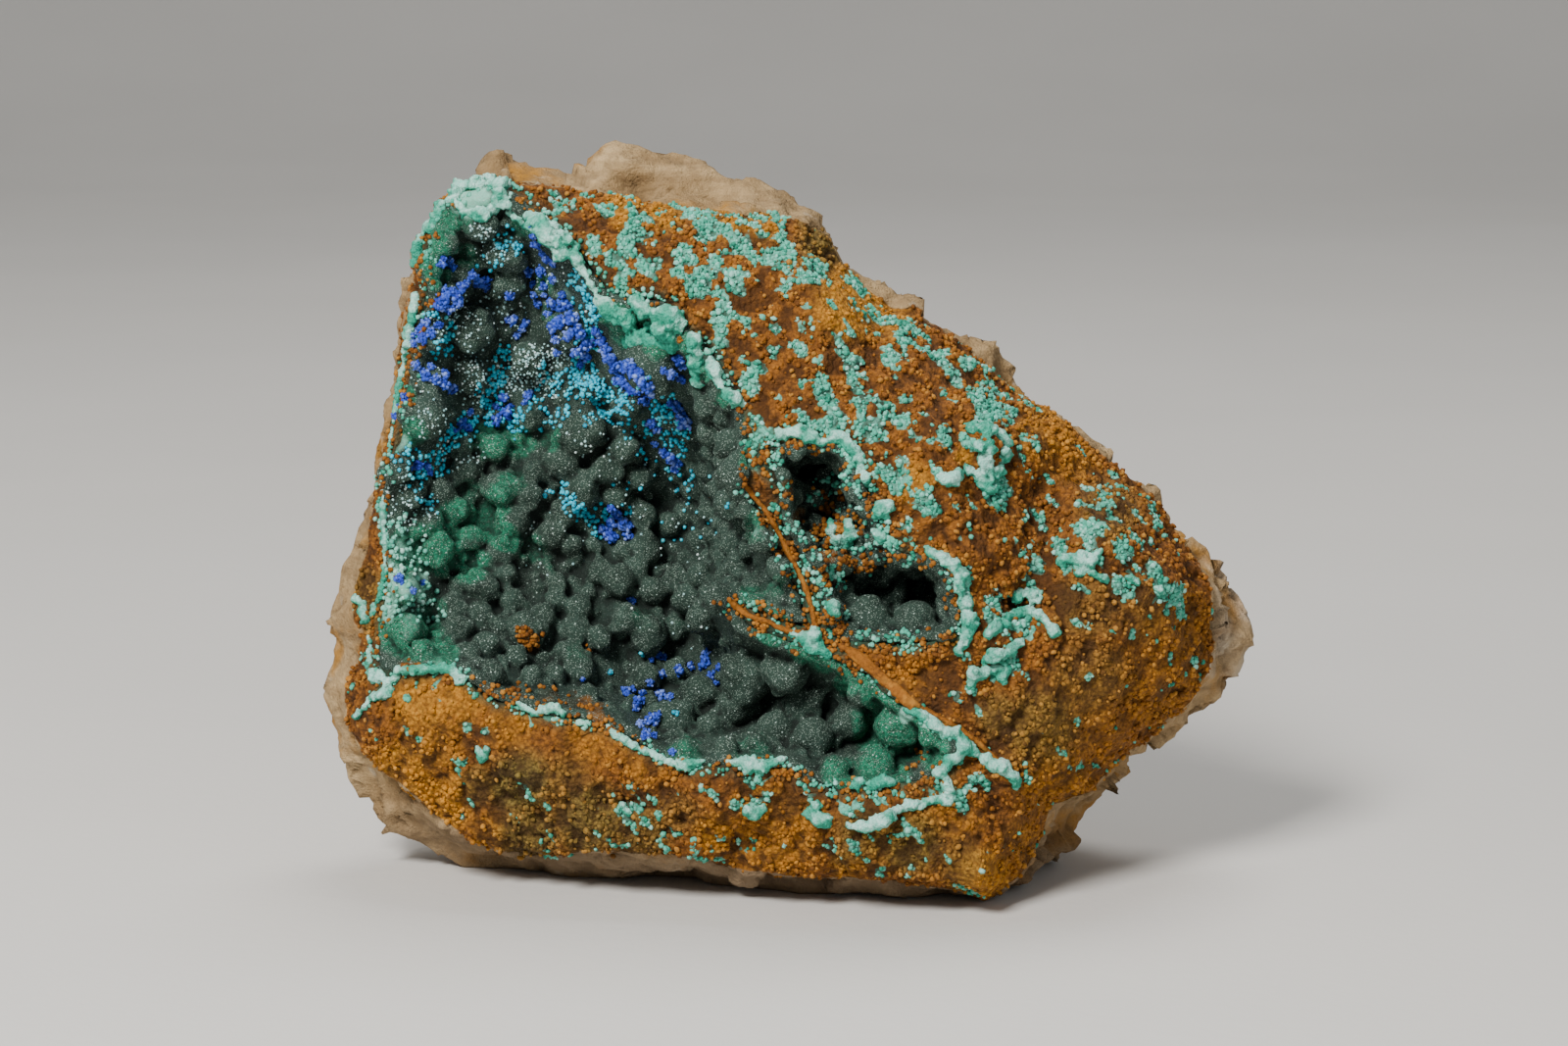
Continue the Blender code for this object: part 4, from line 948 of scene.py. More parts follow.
def scatter(points: Array, faces: Array, shares: Array, count: int,
            rng: Random) -> tuple[Array, Array]:
    """Random places on a mesh, evenly spread over its area.

    Args:
        points: The mesh's vertices.
        faces: Vertex numbers of its triangles.
        shares: How likely each triangle is, for its area.
        count: How many places.
        rng: Source of the places.

    Returns:
        The places and the direction outwards at each.
    """
    first, second, third = (points[faces[:, k]] for k in range(3))
    cross = np.cross(second - first, third - first)
    area = np.linalg.norm(cross, axis=1) * shares
    chosen = rng.choice(len(faces), size=count, p=area / area.sum())
    u, v = rng.uniform(size=(2, count))
    flip = u + v > 1.0
    u, v = np.where(flip, 1.0 - u, u), np.where(flip, 1.0 - v, v)
    places = (first[chosen] + (second - first)[chosen] * u[:, None]
              + (third - first)[chosen] * v[:, None])
    length = np.maximum(np.linalg.norm(cross[chosen], axis=1), 1e-12)
    return places, cross[chosen] / length[:, None]


def strew(name: str, specks: tuple[Speck, ...], places: Array, sizes: Array, rng: Random) -> Object:
    """One mesh of many copies of small shapes.

    Args:
        name: Name of the new piece.
        specks: Shapes that the copies are taken from in turn.
        places: World places of the copies, shape (n, 3).
        sizes: Size of each copy in metres, (n,) or (n, 3).
        rng: Source of the copies' turns and tones.

    Returns:
        The new object, with an attribute tone that differs from copy to copy.
    """
    scale = sizes[:, None] * np.ones(3) if sizes.ndim == 1 else sizes
    turns = random_turns(len(places), rng)
    tones = rng.uniform(0.0, 1.0, len(places))
    points, corners, shades = [], [], []
    start = 0
    for index, speck in enumerate(specks):
        mine = np.arange(index, len(places), len(specks))
        moved = np.einsum("nij,nvj->nvi", turns[mine], speck.points[None] * scale[mine][:, None])
        moved += places[mine][:, None]
        points.append(moved.reshape(-1, 3))
        base = start + np.arange(len(mine)) * len(speck.points)
        corners.append((speck.faces[None] + base[:, None, None]).reshape(-1, 3))
        shades.append(np.repeat(tones[mine], len(speck.points)))
        start += len(mine) * len(speck.points)
    obj = new_piece(name, np.concatenate(points), np.concatenate(corners))
    set_attribute(obj, "tone", np.concatenate(shades))
    return obj


def new_piece(name: str, points: Array, faces: Array) -> Object:
    """Object with a mesh of triangles.

    Args:
        name: Name of the new piece.
        points: Its vertices, shape (n, 3).
        faces: Vertex numbers of its triangles, shape (m, 3).

    Returns:
        The new object.
    """
    mesh = bpy.data.meshes.new(name)
    mesh.vertices.add(len(points))
    mesh.vertices.foreach_set("co", np.ascontiguousarray(points, np.float32).ravel())
    mesh.loops.add(faces.size)
    mesh.loops.foreach_set("vertex_index", np.ascontiguousarray(faces, np.int32).ravel())
    mesh.polygons.add(len(faces))
    mesh.polygons.foreach_set("loop_start", np.arange(0, faces.size, 3, dtype=np.int32))
    mesh.update(calc_edges=True)
    obj = bpy.data.objects.new(name, mesh)
    bpy.context.scene.collection.objects.link(obj)
    return obj


def fused(name: str, balls: list[Ball], voxel: float, base: Object | None = None) -> Object:
    """Balls grown together into one finely meshed mass.

    Args:
        name: Name of the new piece.
        balls: The balls.
        voxel: Size of the new mesh's faces in metres.
        base: A closed mesh that the balls grow on, which the new piece takes the place of.

    Returns:
        The new object.
    """
    ball = ball_speck(3, 0.0, 0)
    centres = np.array([centre for centre, _ in balls])
    radii = np.array([radius for _, radius in balls])
    points = (ball.points * radii[:, None, None] + centres[:, None]).reshape(-1, 3)
    steps = np.arange(len(balls))[:, None, None] * len(ball.points)
    faces = (ball.faces + steps).reshape(-1, 3)
    if base is not None:
        faces = np.concatenate((triangles(base), faces + len(base.data.vertices)))
        points = np.concatenate((coordinates(base), points))
        bpy.data.meshes.remove(base.data)
    obj = new_piece(name, points, faces)
    finish_modifier(obj, "REMESH", mode="VOXEL", voxel_size=voxel)
    return obj


def edge_zones(outline: tuple, reach: float, count: int) -> tuple:
    """Small zones of grains set along a closed outline.

    Args:
        outline: The outline as read in the view.
        reach: How far each zone reaches, in picture points.
        count: Grains in each zone.

    Returns:
        Zones of (across, down, reach across, reach down, how many).
    """
    ring = tuple((across, down, reach) for across, down in outline + outline[:1])
    return tuple((across, down, reach, reach, count) for across, down, _ in
                 along_runs((ring,), 1.3))


def along_runs(runs: tuple, spacing: float) -> list[tuple[float, float, float]]:
    """Balls set closely along runs of balls: (across, down, radius) each.

    Args:
        runs: Runs of (across, down, radius) readings.
        spacing: Gap from ball to ball, as a share of the radius.

    Returns:
        The balls, those read and those set between them.
    """
    found = []
    for run in runs:
        for start, end in zip(run[:-1], run[1:]):
            gap = math.hypot(end[0] - start[0], end[1] - start[1])
            steps = max(1, round(gap / (spacing * (start[2] + end[2]) / 2)))
            for step in range(steps):
                share = step / steps
                found.append(tuple(a + (b - a) * share for a, b in zip(start, end)))
        found.append(run[-1])
    return found


class NodeTable:
    """Short ways to add and join nodes in one node tree."""

    def __init__(self, tree: Tree) -> None:
        """Work on a tree."""
        self.tree = tree

    def add(self, kind: str, inputs: dict | None = None, **settings: object) -> bpy.types.Node:
        """Add a node.

        Args:
            kind: The node's type, without its ShaderNode prefix.
            inputs: Values or sockets for its inputs, by name or number.
            settings: Values for its own properties.

        Returns:
            The new node.
        """
        prefix = "" if kind.startswith("Node") else "ShaderNode"
        node = self.tree.nodes.new(prefix + kind)
        for key, value in settings.items():
            setattr(node, key, value)
        for key, value in (inputs or {}).items():
            if isinstance(value, Socket):
                self.tree.links.new(value, node.inputs[key])
            else:
                node.inputs[key].default_value = value
        return node

    def value(self, operation: str, *terms: object) -> Socket:
        """Result of a calculation on numbers or sockets."""
        return self.add("Math", dict(enumerate(terms)), operation=operation).outputs[0]

    def blend(self, share: object, first: object, second: object, amount: float = 1.0) -> Socket:
        """Colour between two colours, each a socket or a screen colour.

        Args:
            share: How much of the second colour shows, from 0 to 1.
            first: The first colour.
            second: The second colour.
            amount: Factor on the share.

        Returns:
            The mixed colour.
        """
        if amount != 1.0:
            share = self.value("MULTIPLY", share, amount)
        first, second = (linear(colour) if isinstance(colour, str) else colour
                         for colour in (first, second))
        return self.add("Mix", {0: share, 6: first, 7: second}, data_type="RGBA").outputs[2]

    def ramp(self, share: object, low: float, high: float) -> Socket:
        """Number that climbs smoothly from zero to one between two values."""
        node = self.add("MapRange", {0: share, 1: low, 2: high}, interpolation_type="SMOOTHSTEP")
        return node.outputs[0]

    def attribute(self, name: str) -> Socket:
        """Number that each vertex of the mesh carries under a name."""
        return self.add("Attribute", attribute_name=name).outputs["Fac"]

    def zone(self, name: str, ragged: Socket, low: float, high: float) -> Socket:
        """Share that the mesh carries, made ragged and climbing between two values."""
        return self.ramp(self.value("ADD", self.attribute(name), ragged), low, high)

    def noise(self, scale: float, detail: float = 3.0, rough_share: float = 0.55,
              vector: object = None) -> Socket:
        """Noise in object space, with waves of one over scale metres."""
        where = vector or self.add("TexCoord").outputs["Object"]
        node = self.add("TexNoise", {"Vector": where, "Scale": scale, "Detail": detail,
                                     "Roughness": rough_share})
        return node.outputs["Fac"]


def node_group(name: str, inputs: dict[str, float], outputs: tuple[str, ...],
               ) -> tuple[Tree, NodeTable, bpy.types.Node, bpy.types.Node]:
    """Empty shader node group with named number sockets.

    Args:
        name: Name of the group.
        inputs: Names and usual values of its inputs.
        outputs: Names of its outputs.

    Returns:
        The group, its table, its input node and its output node.
    """
    tree = bpy.data.node_groups.new(name, "ShaderNodeTree")
    for key, usual in inputs.items():
        socket = tree.interface.new_socket(key, in_out="INPUT", socket_type="NodeSocketFloat")
        socket.default_value = usual
    for key in outputs:
        tree.interface.new_socket(key, in_out="OUTPUT", socket_type="NodeSocketFloat")
    table = NodeTable(tree)
    return tree, table, table.add("NodeGroupInput"), table.add("NodeGroupOutput")


@dataclass
class SharedEffects:
    """Node groups that several finishes use."""

    grit: Tree = field(init=False)
    sparkle: Tree = field(init=False)
    mottle: Tree = field(init=False)

    def __post_init__(self) -> None:
        """Build the groups."""
        self.grit = self.make_grit()
        self.sparkle = self.make_sparkle()
        self.mottle = self.make_mottle()

    @staticmethod
    def make_grit() -> Tree:
        """Grains as close-set domes with a fine roughness on top, and a share for painted shade in
        the clefts between them.
        """
        tree, table, given, result = node_group(
            "Grit", {"Grains": 1500.0, "Dust": 6000.0}, ("Height", "Cleft Shade"))
        where = table.add("TexCoord").outputs["Object"]
        warp = table.add("TexNoise", {"Vector": where, "Scale": given.outputs["Grains"]})
        bent = table.add("VectorMath", {0: warp.outputs["Color"], 3: 0.0004}, operation="SCALE")
        spot = table.add("VectorMath", {0: where, 1: bent.outputs[0]}, operation="ADD")
        cells = table.add("TexVoronoi", {"Vector": spot.outputs[0],
                                         "Scale": given.outputs["Grains"]})
        dust = table.add("TexNoise", {"Vector": where, "Scale": given.outputs["Dust"],
                                      "Detail": 2.0})
        dome = table.value("SUBTRACT", 1.0, cells.outputs["Distance"])
        height = table.value("MULTIPLY_ADD", dust.outputs["Fac"], 0.35, dome)
        table.tree.links.new(height, result.inputs["Height"])
        # Painted shade: a share that is one in the clefts between the grains.
        cleft_shade = table.ramp(cells.outputs["Distance"], 0.35, 0.85)
        table.tree.links.new(cleft_shade, result.inputs["Cleft Shade"])
        return tree

    @staticmethod
    def make_sparkle() -> Tree:
        """Round bright points in a share of fine cells."""
        tree, table, given, result = node_group(
            "Sparkle", {"Fineness": 4000.0, "Share": 0.3, "Width": 0.3}, ("Points",))
        where = table.add("TexCoord").outputs["Object"]
        cells = table.add("TexVoronoi", {"Vector": where, "Scale": given.outputs["Fineness"]})
        tone = table.add("SeparateColor", {0: cells.outputs["Color"]}).outputs[0]
        chosen = table.value("LESS_THAN", tone, given.outputs["Share"])
        near = table.value("LESS_THAN", cells.outputs["Distance"], given.outputs["Width"])
        table.tree.links.new(table.value("MULTIPLY", chosen, near), result.inputs["Points"])
        return tree

    @staticmethod
    def make_mottle() -> Tree:
        """Patches of tone at two sizes."""
        tree, table, given, result = node_group(
            "Mottle", {"Broad Scale": 120.0, "Fine Scale": 900.0}, ("Broad", "Fine"))
        where = table.add("TexCoord").outputs["Object"]
        for key in ("Broad", "Fine"):
            patches = table.add("TexNoise", {"Vector": where,
                                             "Scale": given.outputs[key + " Scale"],
                                             "Detail": 4.0, "Roughness": 0.6})
            shaped = table.ramp(patches.outputs["Fac"], 0.3, 0.7)
            table.tree.links.new(shaped, result.inputs[key])
        return tree


class Finish:
    """A material and its shader tree."""

    name = "finish"
    gleam = 0.5

    def __init__(self, effects: SharedEffects) -> None:
        """Build the material with the shared effects at hand."""
        self.effects = effects
        self.material = bpy.data.materials.new(self.name)
        self.material.use_nodes = True
        self.table = NodeTable(self.material.node_tree)
        self.shader = self.material.node_tree.nodes["Principled BSDF"]
        self.shader.inputs["Specular IOR Level"].default_value = self.gleam
        self.build()

    def build(self) -> None:
        """Fill in the node tree."""
        raise NotImplementedError

    def effect(self, tree: Tree, **inputs: float) -> tuple[Socket, ...]:
        """Place a shared effect with its own values.

        Args:
            tree: The effect's node group.
            inputs: Values by name, with underscores for the spaces.

        Returns:
            The effect's outputs.
        """
        named = {key.replace("_", " "): value for key, value in inputs.items()}
        return tuple(self.table.add("Group", named, node_tree=tree).outputs)

    def join(self, colour: Socket, roughness: Socket, height: Socket, bump: float) -> None:
        """Join all that changes over the surface to the shader.

        Args:
            colour: Base colour.
            roughness: Roughness.
            height: Height field of the fine relief.
            bump: How tall that relief is, in metres.
        """
        relief = self.table.add("Bump", {"Height": height, "Distance": bump, "Strength": 1.0})
        for key, socket in (("Base Color", colour), ("Roughness", roughness),
                            ("Normal", relief.outputs[0])):
            self.table.tree.links.new(socket, self.shader.inputs[key])

    def dress(self, obj: Object) -> None:
        """Give an object this material alone, on smooth faces."""
        obj.data.shade_smooth()
        obj.data.materials.clear()
        obj.data.materials.append(self.material)


class LimoniteFinish(Finish):
    """Rusty limonite grains, ochre and olive in their zones."""

    name = "limonite_crumbs"
    gleam = 0.22

    def limonite(self) -> Socket:
        """Colour of limonite, with its ochre and olive zones."""
        table = self.table
        broad, fine = self.effect(self.effects.mottle, Broad_Scale=240.0, Fine_Scale=2200.0)
        base = table.blend(broad, Tone.RUST_DARK, Tone.RUST)
        base = table.blend(fine, base, Tone.RUST_LIGHT)
        ochre = table.blend(fine, Tone.OCHRE, Tone.OCHRE_LIGHT)
        base = table.blend(table.attribute("ochre"), base, ochre)
        olive = table.blend(fine, Tone.OLIVE, Tone.OLIVE_LIGHT)
        return table.blend(table.attribute("olive"), base, olive)

    def build(self) -> None:
        """Shade each grain in its own tone."""
        table = self.table
        domes, _ = self.effect(self.effects.grit, Grains=4200.0, Dust=12000.0)
        tone = table.attribute("tone")
        dim = table.ramp(tone, 0.4, 0.0)
        colour = table.blend(dim, self.limonite(), Tone.CRUMB_DARK, 0.6)
        colour = table.blend(table.ramp(tone, 0.6, 1.0), colour, Tone.CRUMB_PALE, 0.55)
        self.join(colour, table.value("MULTIPLY_ADD", tone, 0.15, 0.75), domes, 0.00008)


class RockFinish(LimoniteFinish):
    """Tan host rock, and the limonite skin where the mesh says so."""

    name = "tan_rock_and_limonite"
    gleam = 0.25

    def tan(self) -> Socket:
        """Colour of the bare rock: layered, stained and chalky in places, and darkened low on its
        front with painted shade.
        """
        table = self.table
        broad, fine = self.effect(self.effects.mottle, Broad_Scale=90.0, Fine_Scale=700.0)
        base = table.blend(broad, Tone.TAN, Tone.TAN_LIGHT)
        where = table.add("TexCoord").outputs["Object"]
        layers = table.add("Mapping", {"Vector": where, "Rotation": (0.35, 0.2, 0.0),
                                       "Scale": (60.0, 60.0, 520.0)})
        streaks = table.ramp(table.noise(1.0, 5.0, 0.6, layers.outputs[0]), 0.42, 0.66)
        base = table.blend(streaks, base, Tone.LAYER_BROWN, 0.55)
        stain = table.ramp(table.noise(85.0, 4.0), 0.52, 0.66)
        base = table.blend(stain, base, Tone.OCHRE_STAIN)
        chalk = table.ramp(table.noise(160.0, 4.0), 0.62, 0.74)
        base = table.blend(chalk, base, Tone.CHALK)
        base = table.blend(fine, base, Tone.TAN_GRAIN, 0.45)
        # Painted shade low on the front of the rock.
        base = table.blend(table.attribute("painted_shade"), base, Tone.TAN_PAINTED_SHADE)
        return table.blend(table.attribute("bleach"), base, Tone.BLEACHED)

    def build(self) -> None:
        """Mix the two rocks, the turquoise veil and the dark walls of the hollows, and darken the
        clefts, the gaps between clumps and those between grains with painted shade.
        """
        table = self.table
        domes, gaps = self.effect(self.effects.grit, Grains=1700.0, Dust=7000.0)
        ragged = table.value("MULTIPLY_ADD", table.noise(500.0, 4.0), 0.5, -0.25)
        skin = table.zone("skin", ragged, 0.4, 0.6)
        colour = table.blend(skin, self.tan(), self.limonite())
        ragged = table.value("MULTIPLY_ADD", table.noise(1400.0, 3.0), 0.8, -0.4)
        veil = table.blend(table.noise(900.0, 3.0), Tone.VEIL_TEAL, Tone.VEIL_PALE)
        colour = table.blend(table.zone("teal", ragged, 0.35, 0.65), colour, veil)
        colour = table.blend(table.attribute("wall"), colour, Tone.WALL_GREEN)
        # Painted shade in the gaps between the limonite clumps.
        colour = table.blend(table.attribute("gap"), colour, Tone.GAP_SHADE_BROWN, 0.72)
        # Painted shade: the clefts darkened to brown.
        colour = table.blend(table.attribute("cleft_shade"), colour, Tone.CLEFT_SHADE_BROWN, 0.85)
        # Painted shade between the grains of the limonite skin.
        shade_between_grains = table.value("MULTIPLY", gaps, table.value("MULTIPLY", skin, 0.45))
        colour = table.blend(shade_between_grains, colour, Tone.GRAIN_GAP_SHADE)
        stony = table.value("MULTIPLY_ADD", table.noise(420.0, 7.0, 0.68), 2.6,
                            table.noise(3000.0, 3.0))
        height = table.add("Mix", {0: skin, 2: stony, 3: domes}, data_type="FLOAT").outputs[0]
        roughness = table.value("MULTIPLY_ADD", table.noise(300.0), 0.16, 0.78)
        self.join(colour, roughness, height, 0.00035)


class CrustFinish(Finish):
    """Dark velvety crust with pale dust and painted glints, emerald and pale in its zones, and
    painted shade in its clefts.
    """

    name = "green_velvet_crust"
    gleam = 0.35

    def build(self) -> None:
        """Mix the greens, the dust and the rust, with painted glints and painted shade in the
        clefts.
        """
        table = self.table
        broad, fine = self.effect(self.effects.mottle, Broad_Scale=220.0, Fine_Scale=1800.0)
        dust, = self.effect(self.effects.sparkle, Fineness=6200.0, Share=0.42, Width=0.42)
        # Painted glints: near-white points on the crust.
        painted_glints, = self.effect(self.effects.sparkle, Fineness=2300.0, Share=0.2, Width=0.22)
        domes, _ = self.effect(self.effects.grit, Grains=5200.0, Dust=12000.0)
        cleft_shade = table.attribute("cleft_shade")
        dark = table.blend(broad, Tone.CRUST_DARK, Tone.CRUST_GREY)
        dark = table.blend(fine, dark, Tone.CRUST_MOSS)
        green = table.blend(fine, Tone.EMERALD_DARK, Tone.EMERALD)
        ragged = table.value("MULTIPLY_ADD", table.noise(420.0, 4.0), 0.7, -0.35)
        colour = table.blend(table.zone("emerald", ragged, 0.25, 0.85), dark, green)
        colour = table.blend(table.zone("pale", ragged, 0.3, 0.8), colour, Tone.CRUST_PALE)
        colour = table.blend(table.zone("rust", ragged, 0.3, 1.0), colour, Tone.CRUST_RUST)
        # The pale dust thins out in the clefts, which adds to their painted shade.
        dust_outside_shade = table.value("SUBTRACT", 0.62, table.value("MULTIPLY", cleft_shade, 0.6))
        colour = table.blend(table.value("MULTIPLY", dust, dust_outside_shade), colour, Tone.DUST)
        # Painted glints on the crust.
        colour = table.blend(painted_glints, colour, Tone.GLINT, 0.8)
        # Painted shade: the clefts darkened to near black.
        colour = table.blend(table.ramp(cleft_shade, 0.1, 1.0), colour, Tone.CRUST_CLEFT_SHADE, 0.8)
        self.join(colour, table.value("MULTIPLY_ADD", dust, -0.35, 0.82), domes, 0.00012)


class VelvetFinish(Finish):
    """Pale turquoise velvet, green underneath, on the rims and growths, paler with painted light
    where it faces up and to the front.
    """

    name = "turquoise_velvet"
    gleam = 0.3

    def build(self) -> None:
        """Mix the pale bloom and the green below it, with painted light in the bloom and painted
        shade in the clefts.
        """
        table = self.table
        broad, fine = self.effect(self.effects.mottle, Broad_Scale=380.0, Fine_Scale=2600.0)
        domes, _ = self.effect(self.effects.grit, Grains=3600.0, Dust=9000.0)
        deep = table.blend(fine, Tone.VELVET_DEEP, Tone.VELVET_GREEN)
        bloom = table.blend(fine, Tone.BLOOM, Tone.BLOOM_PALE)
        ragged = table.value("MULTIPLY_ADD", broad, 0.5, -0.25)
        # The bloom share is partly real paleness and partly painted light on sides that face up and
        # to the front.
        colour = table.blend(table.zone("bloom", ragged, 0.15, 0.75), deep, bloom)
        # Painted shade: the clefts darkened to deep green.
        cleft_shade = table.ramp(table.attribute("cleft_shade"), 0.15, 1.0)
        colour = table.blend(cleft_shade, colour, Tone.VELVET_CLEFT_SHADE, 0.7)
        self.join(colour, table.value("MULTIPLY_ADD", fine, 0.12, 0.72), domes, 0.00016)


class FloorFinish(Finish):
    """Plain pale card, very slightly uneven."""

    name = "pale_card"

    def build(self) -> None:
        """Near-white with a faint mottle."""
        table = self.table
        broad, fine = self.effect(self.effects.mottle, Broad_Scale=3.0, Fine_Scale=400.0)
        colour = table.blend(broad, Tone.CARD_DIM, Tone.CARD)
        self.join(colour, table.value("MULTIPLY_ADD", fine, 0.05, 0.7), fine, 0.00002)


@dataclass(frozen=True)
class GrainTones:
    """Colours, gloss and relief of strewn grains; the bump is in metres."""

    name: str
    dark: str
    middle: str
    light: str
    roughness: float
    gleam: float
    bump: float
    scale: float


TURQUOISE_TONES = GrainTones("turquoise_grains", "1F8068", "58BDA4", "A4DFD0", 0.7, 0.3, 7e-5,
                             4200.0)
AZURITE_TONES = GrainTones("azurite", "1A30A0", "3558CC", "8CA6EE", 0.45, 0.45, 6e-5, 5200.0)
CYAN_TONES = GrainTones("cyan_grains", "0793B4", "12C0DE", "62E4F2", 0.25, 0.6, 2e-5, 6000.0)
FROST_TONES = GrainTones("frost_grains", "7FAEB0", "B4DDDC", "EAF6F4", 0.3, 0.6, 2e-5, 6000.0)
BEAD_TONES = GrainTones("pale_beads", "4FA893", "86CDB9", "BFE9DD", 0.5, 0.4, 4e-5, 5200.0)


class GrainFinish(Finish):
    """Finish of strewn grains, each copy in its own tone."""

    def __init__(self, effects: SharedEffects, tones: GrainTones) -> None:
        """Take the tones, then build."""
        self.tones = tones
        self.name = tones.name
        self.gleam = tones.gleam
        super().__init__(effects)

    def build(self) -> None:
        """Spread three tones over the copies, mottled and bumpy."""
        table = self.table
        tones = self.tones
        broad, fine = self.effect(self.effects.mottle, Broad_Scale=300.0, Fine_Scale=tones.scale)
        domes, _ = self.effect(self.effects.grit, Grains=tones.scale, Dust=tones.scale * 3.0)
        own = table.value("MULTIPLY", table.attribute("tone"), 0.7)
        tone = table.value("MULTIPLY_ADD", broad, 0.3, own)
        colour = table.blend(table.ramp(tone, 0.1, 0.5), tones.dark, tones.middle)
        colour = table.blend(table.ramp(tone, 0.55, 0.95), colour, tones.light)
        colour = table.blend(fine, colour, tones.dark, 0.3)
        roughness = table.value("MULTIPLY_ADD", fine, 0.15, tones.roughness)
        self.join(colour, roughness, domes, tones.bump)


def mount(obj: Object, finish: Finish, slot: Slot, *replaced: str) -> None:
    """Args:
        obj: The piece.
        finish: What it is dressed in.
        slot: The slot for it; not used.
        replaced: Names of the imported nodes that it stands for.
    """
    finish.dress(obj)
    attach(obj, "root")
    if replaced:
        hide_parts(*replaced)
    LOG.info("%s: %d triangles", obj.name, len(triangles(obj)))


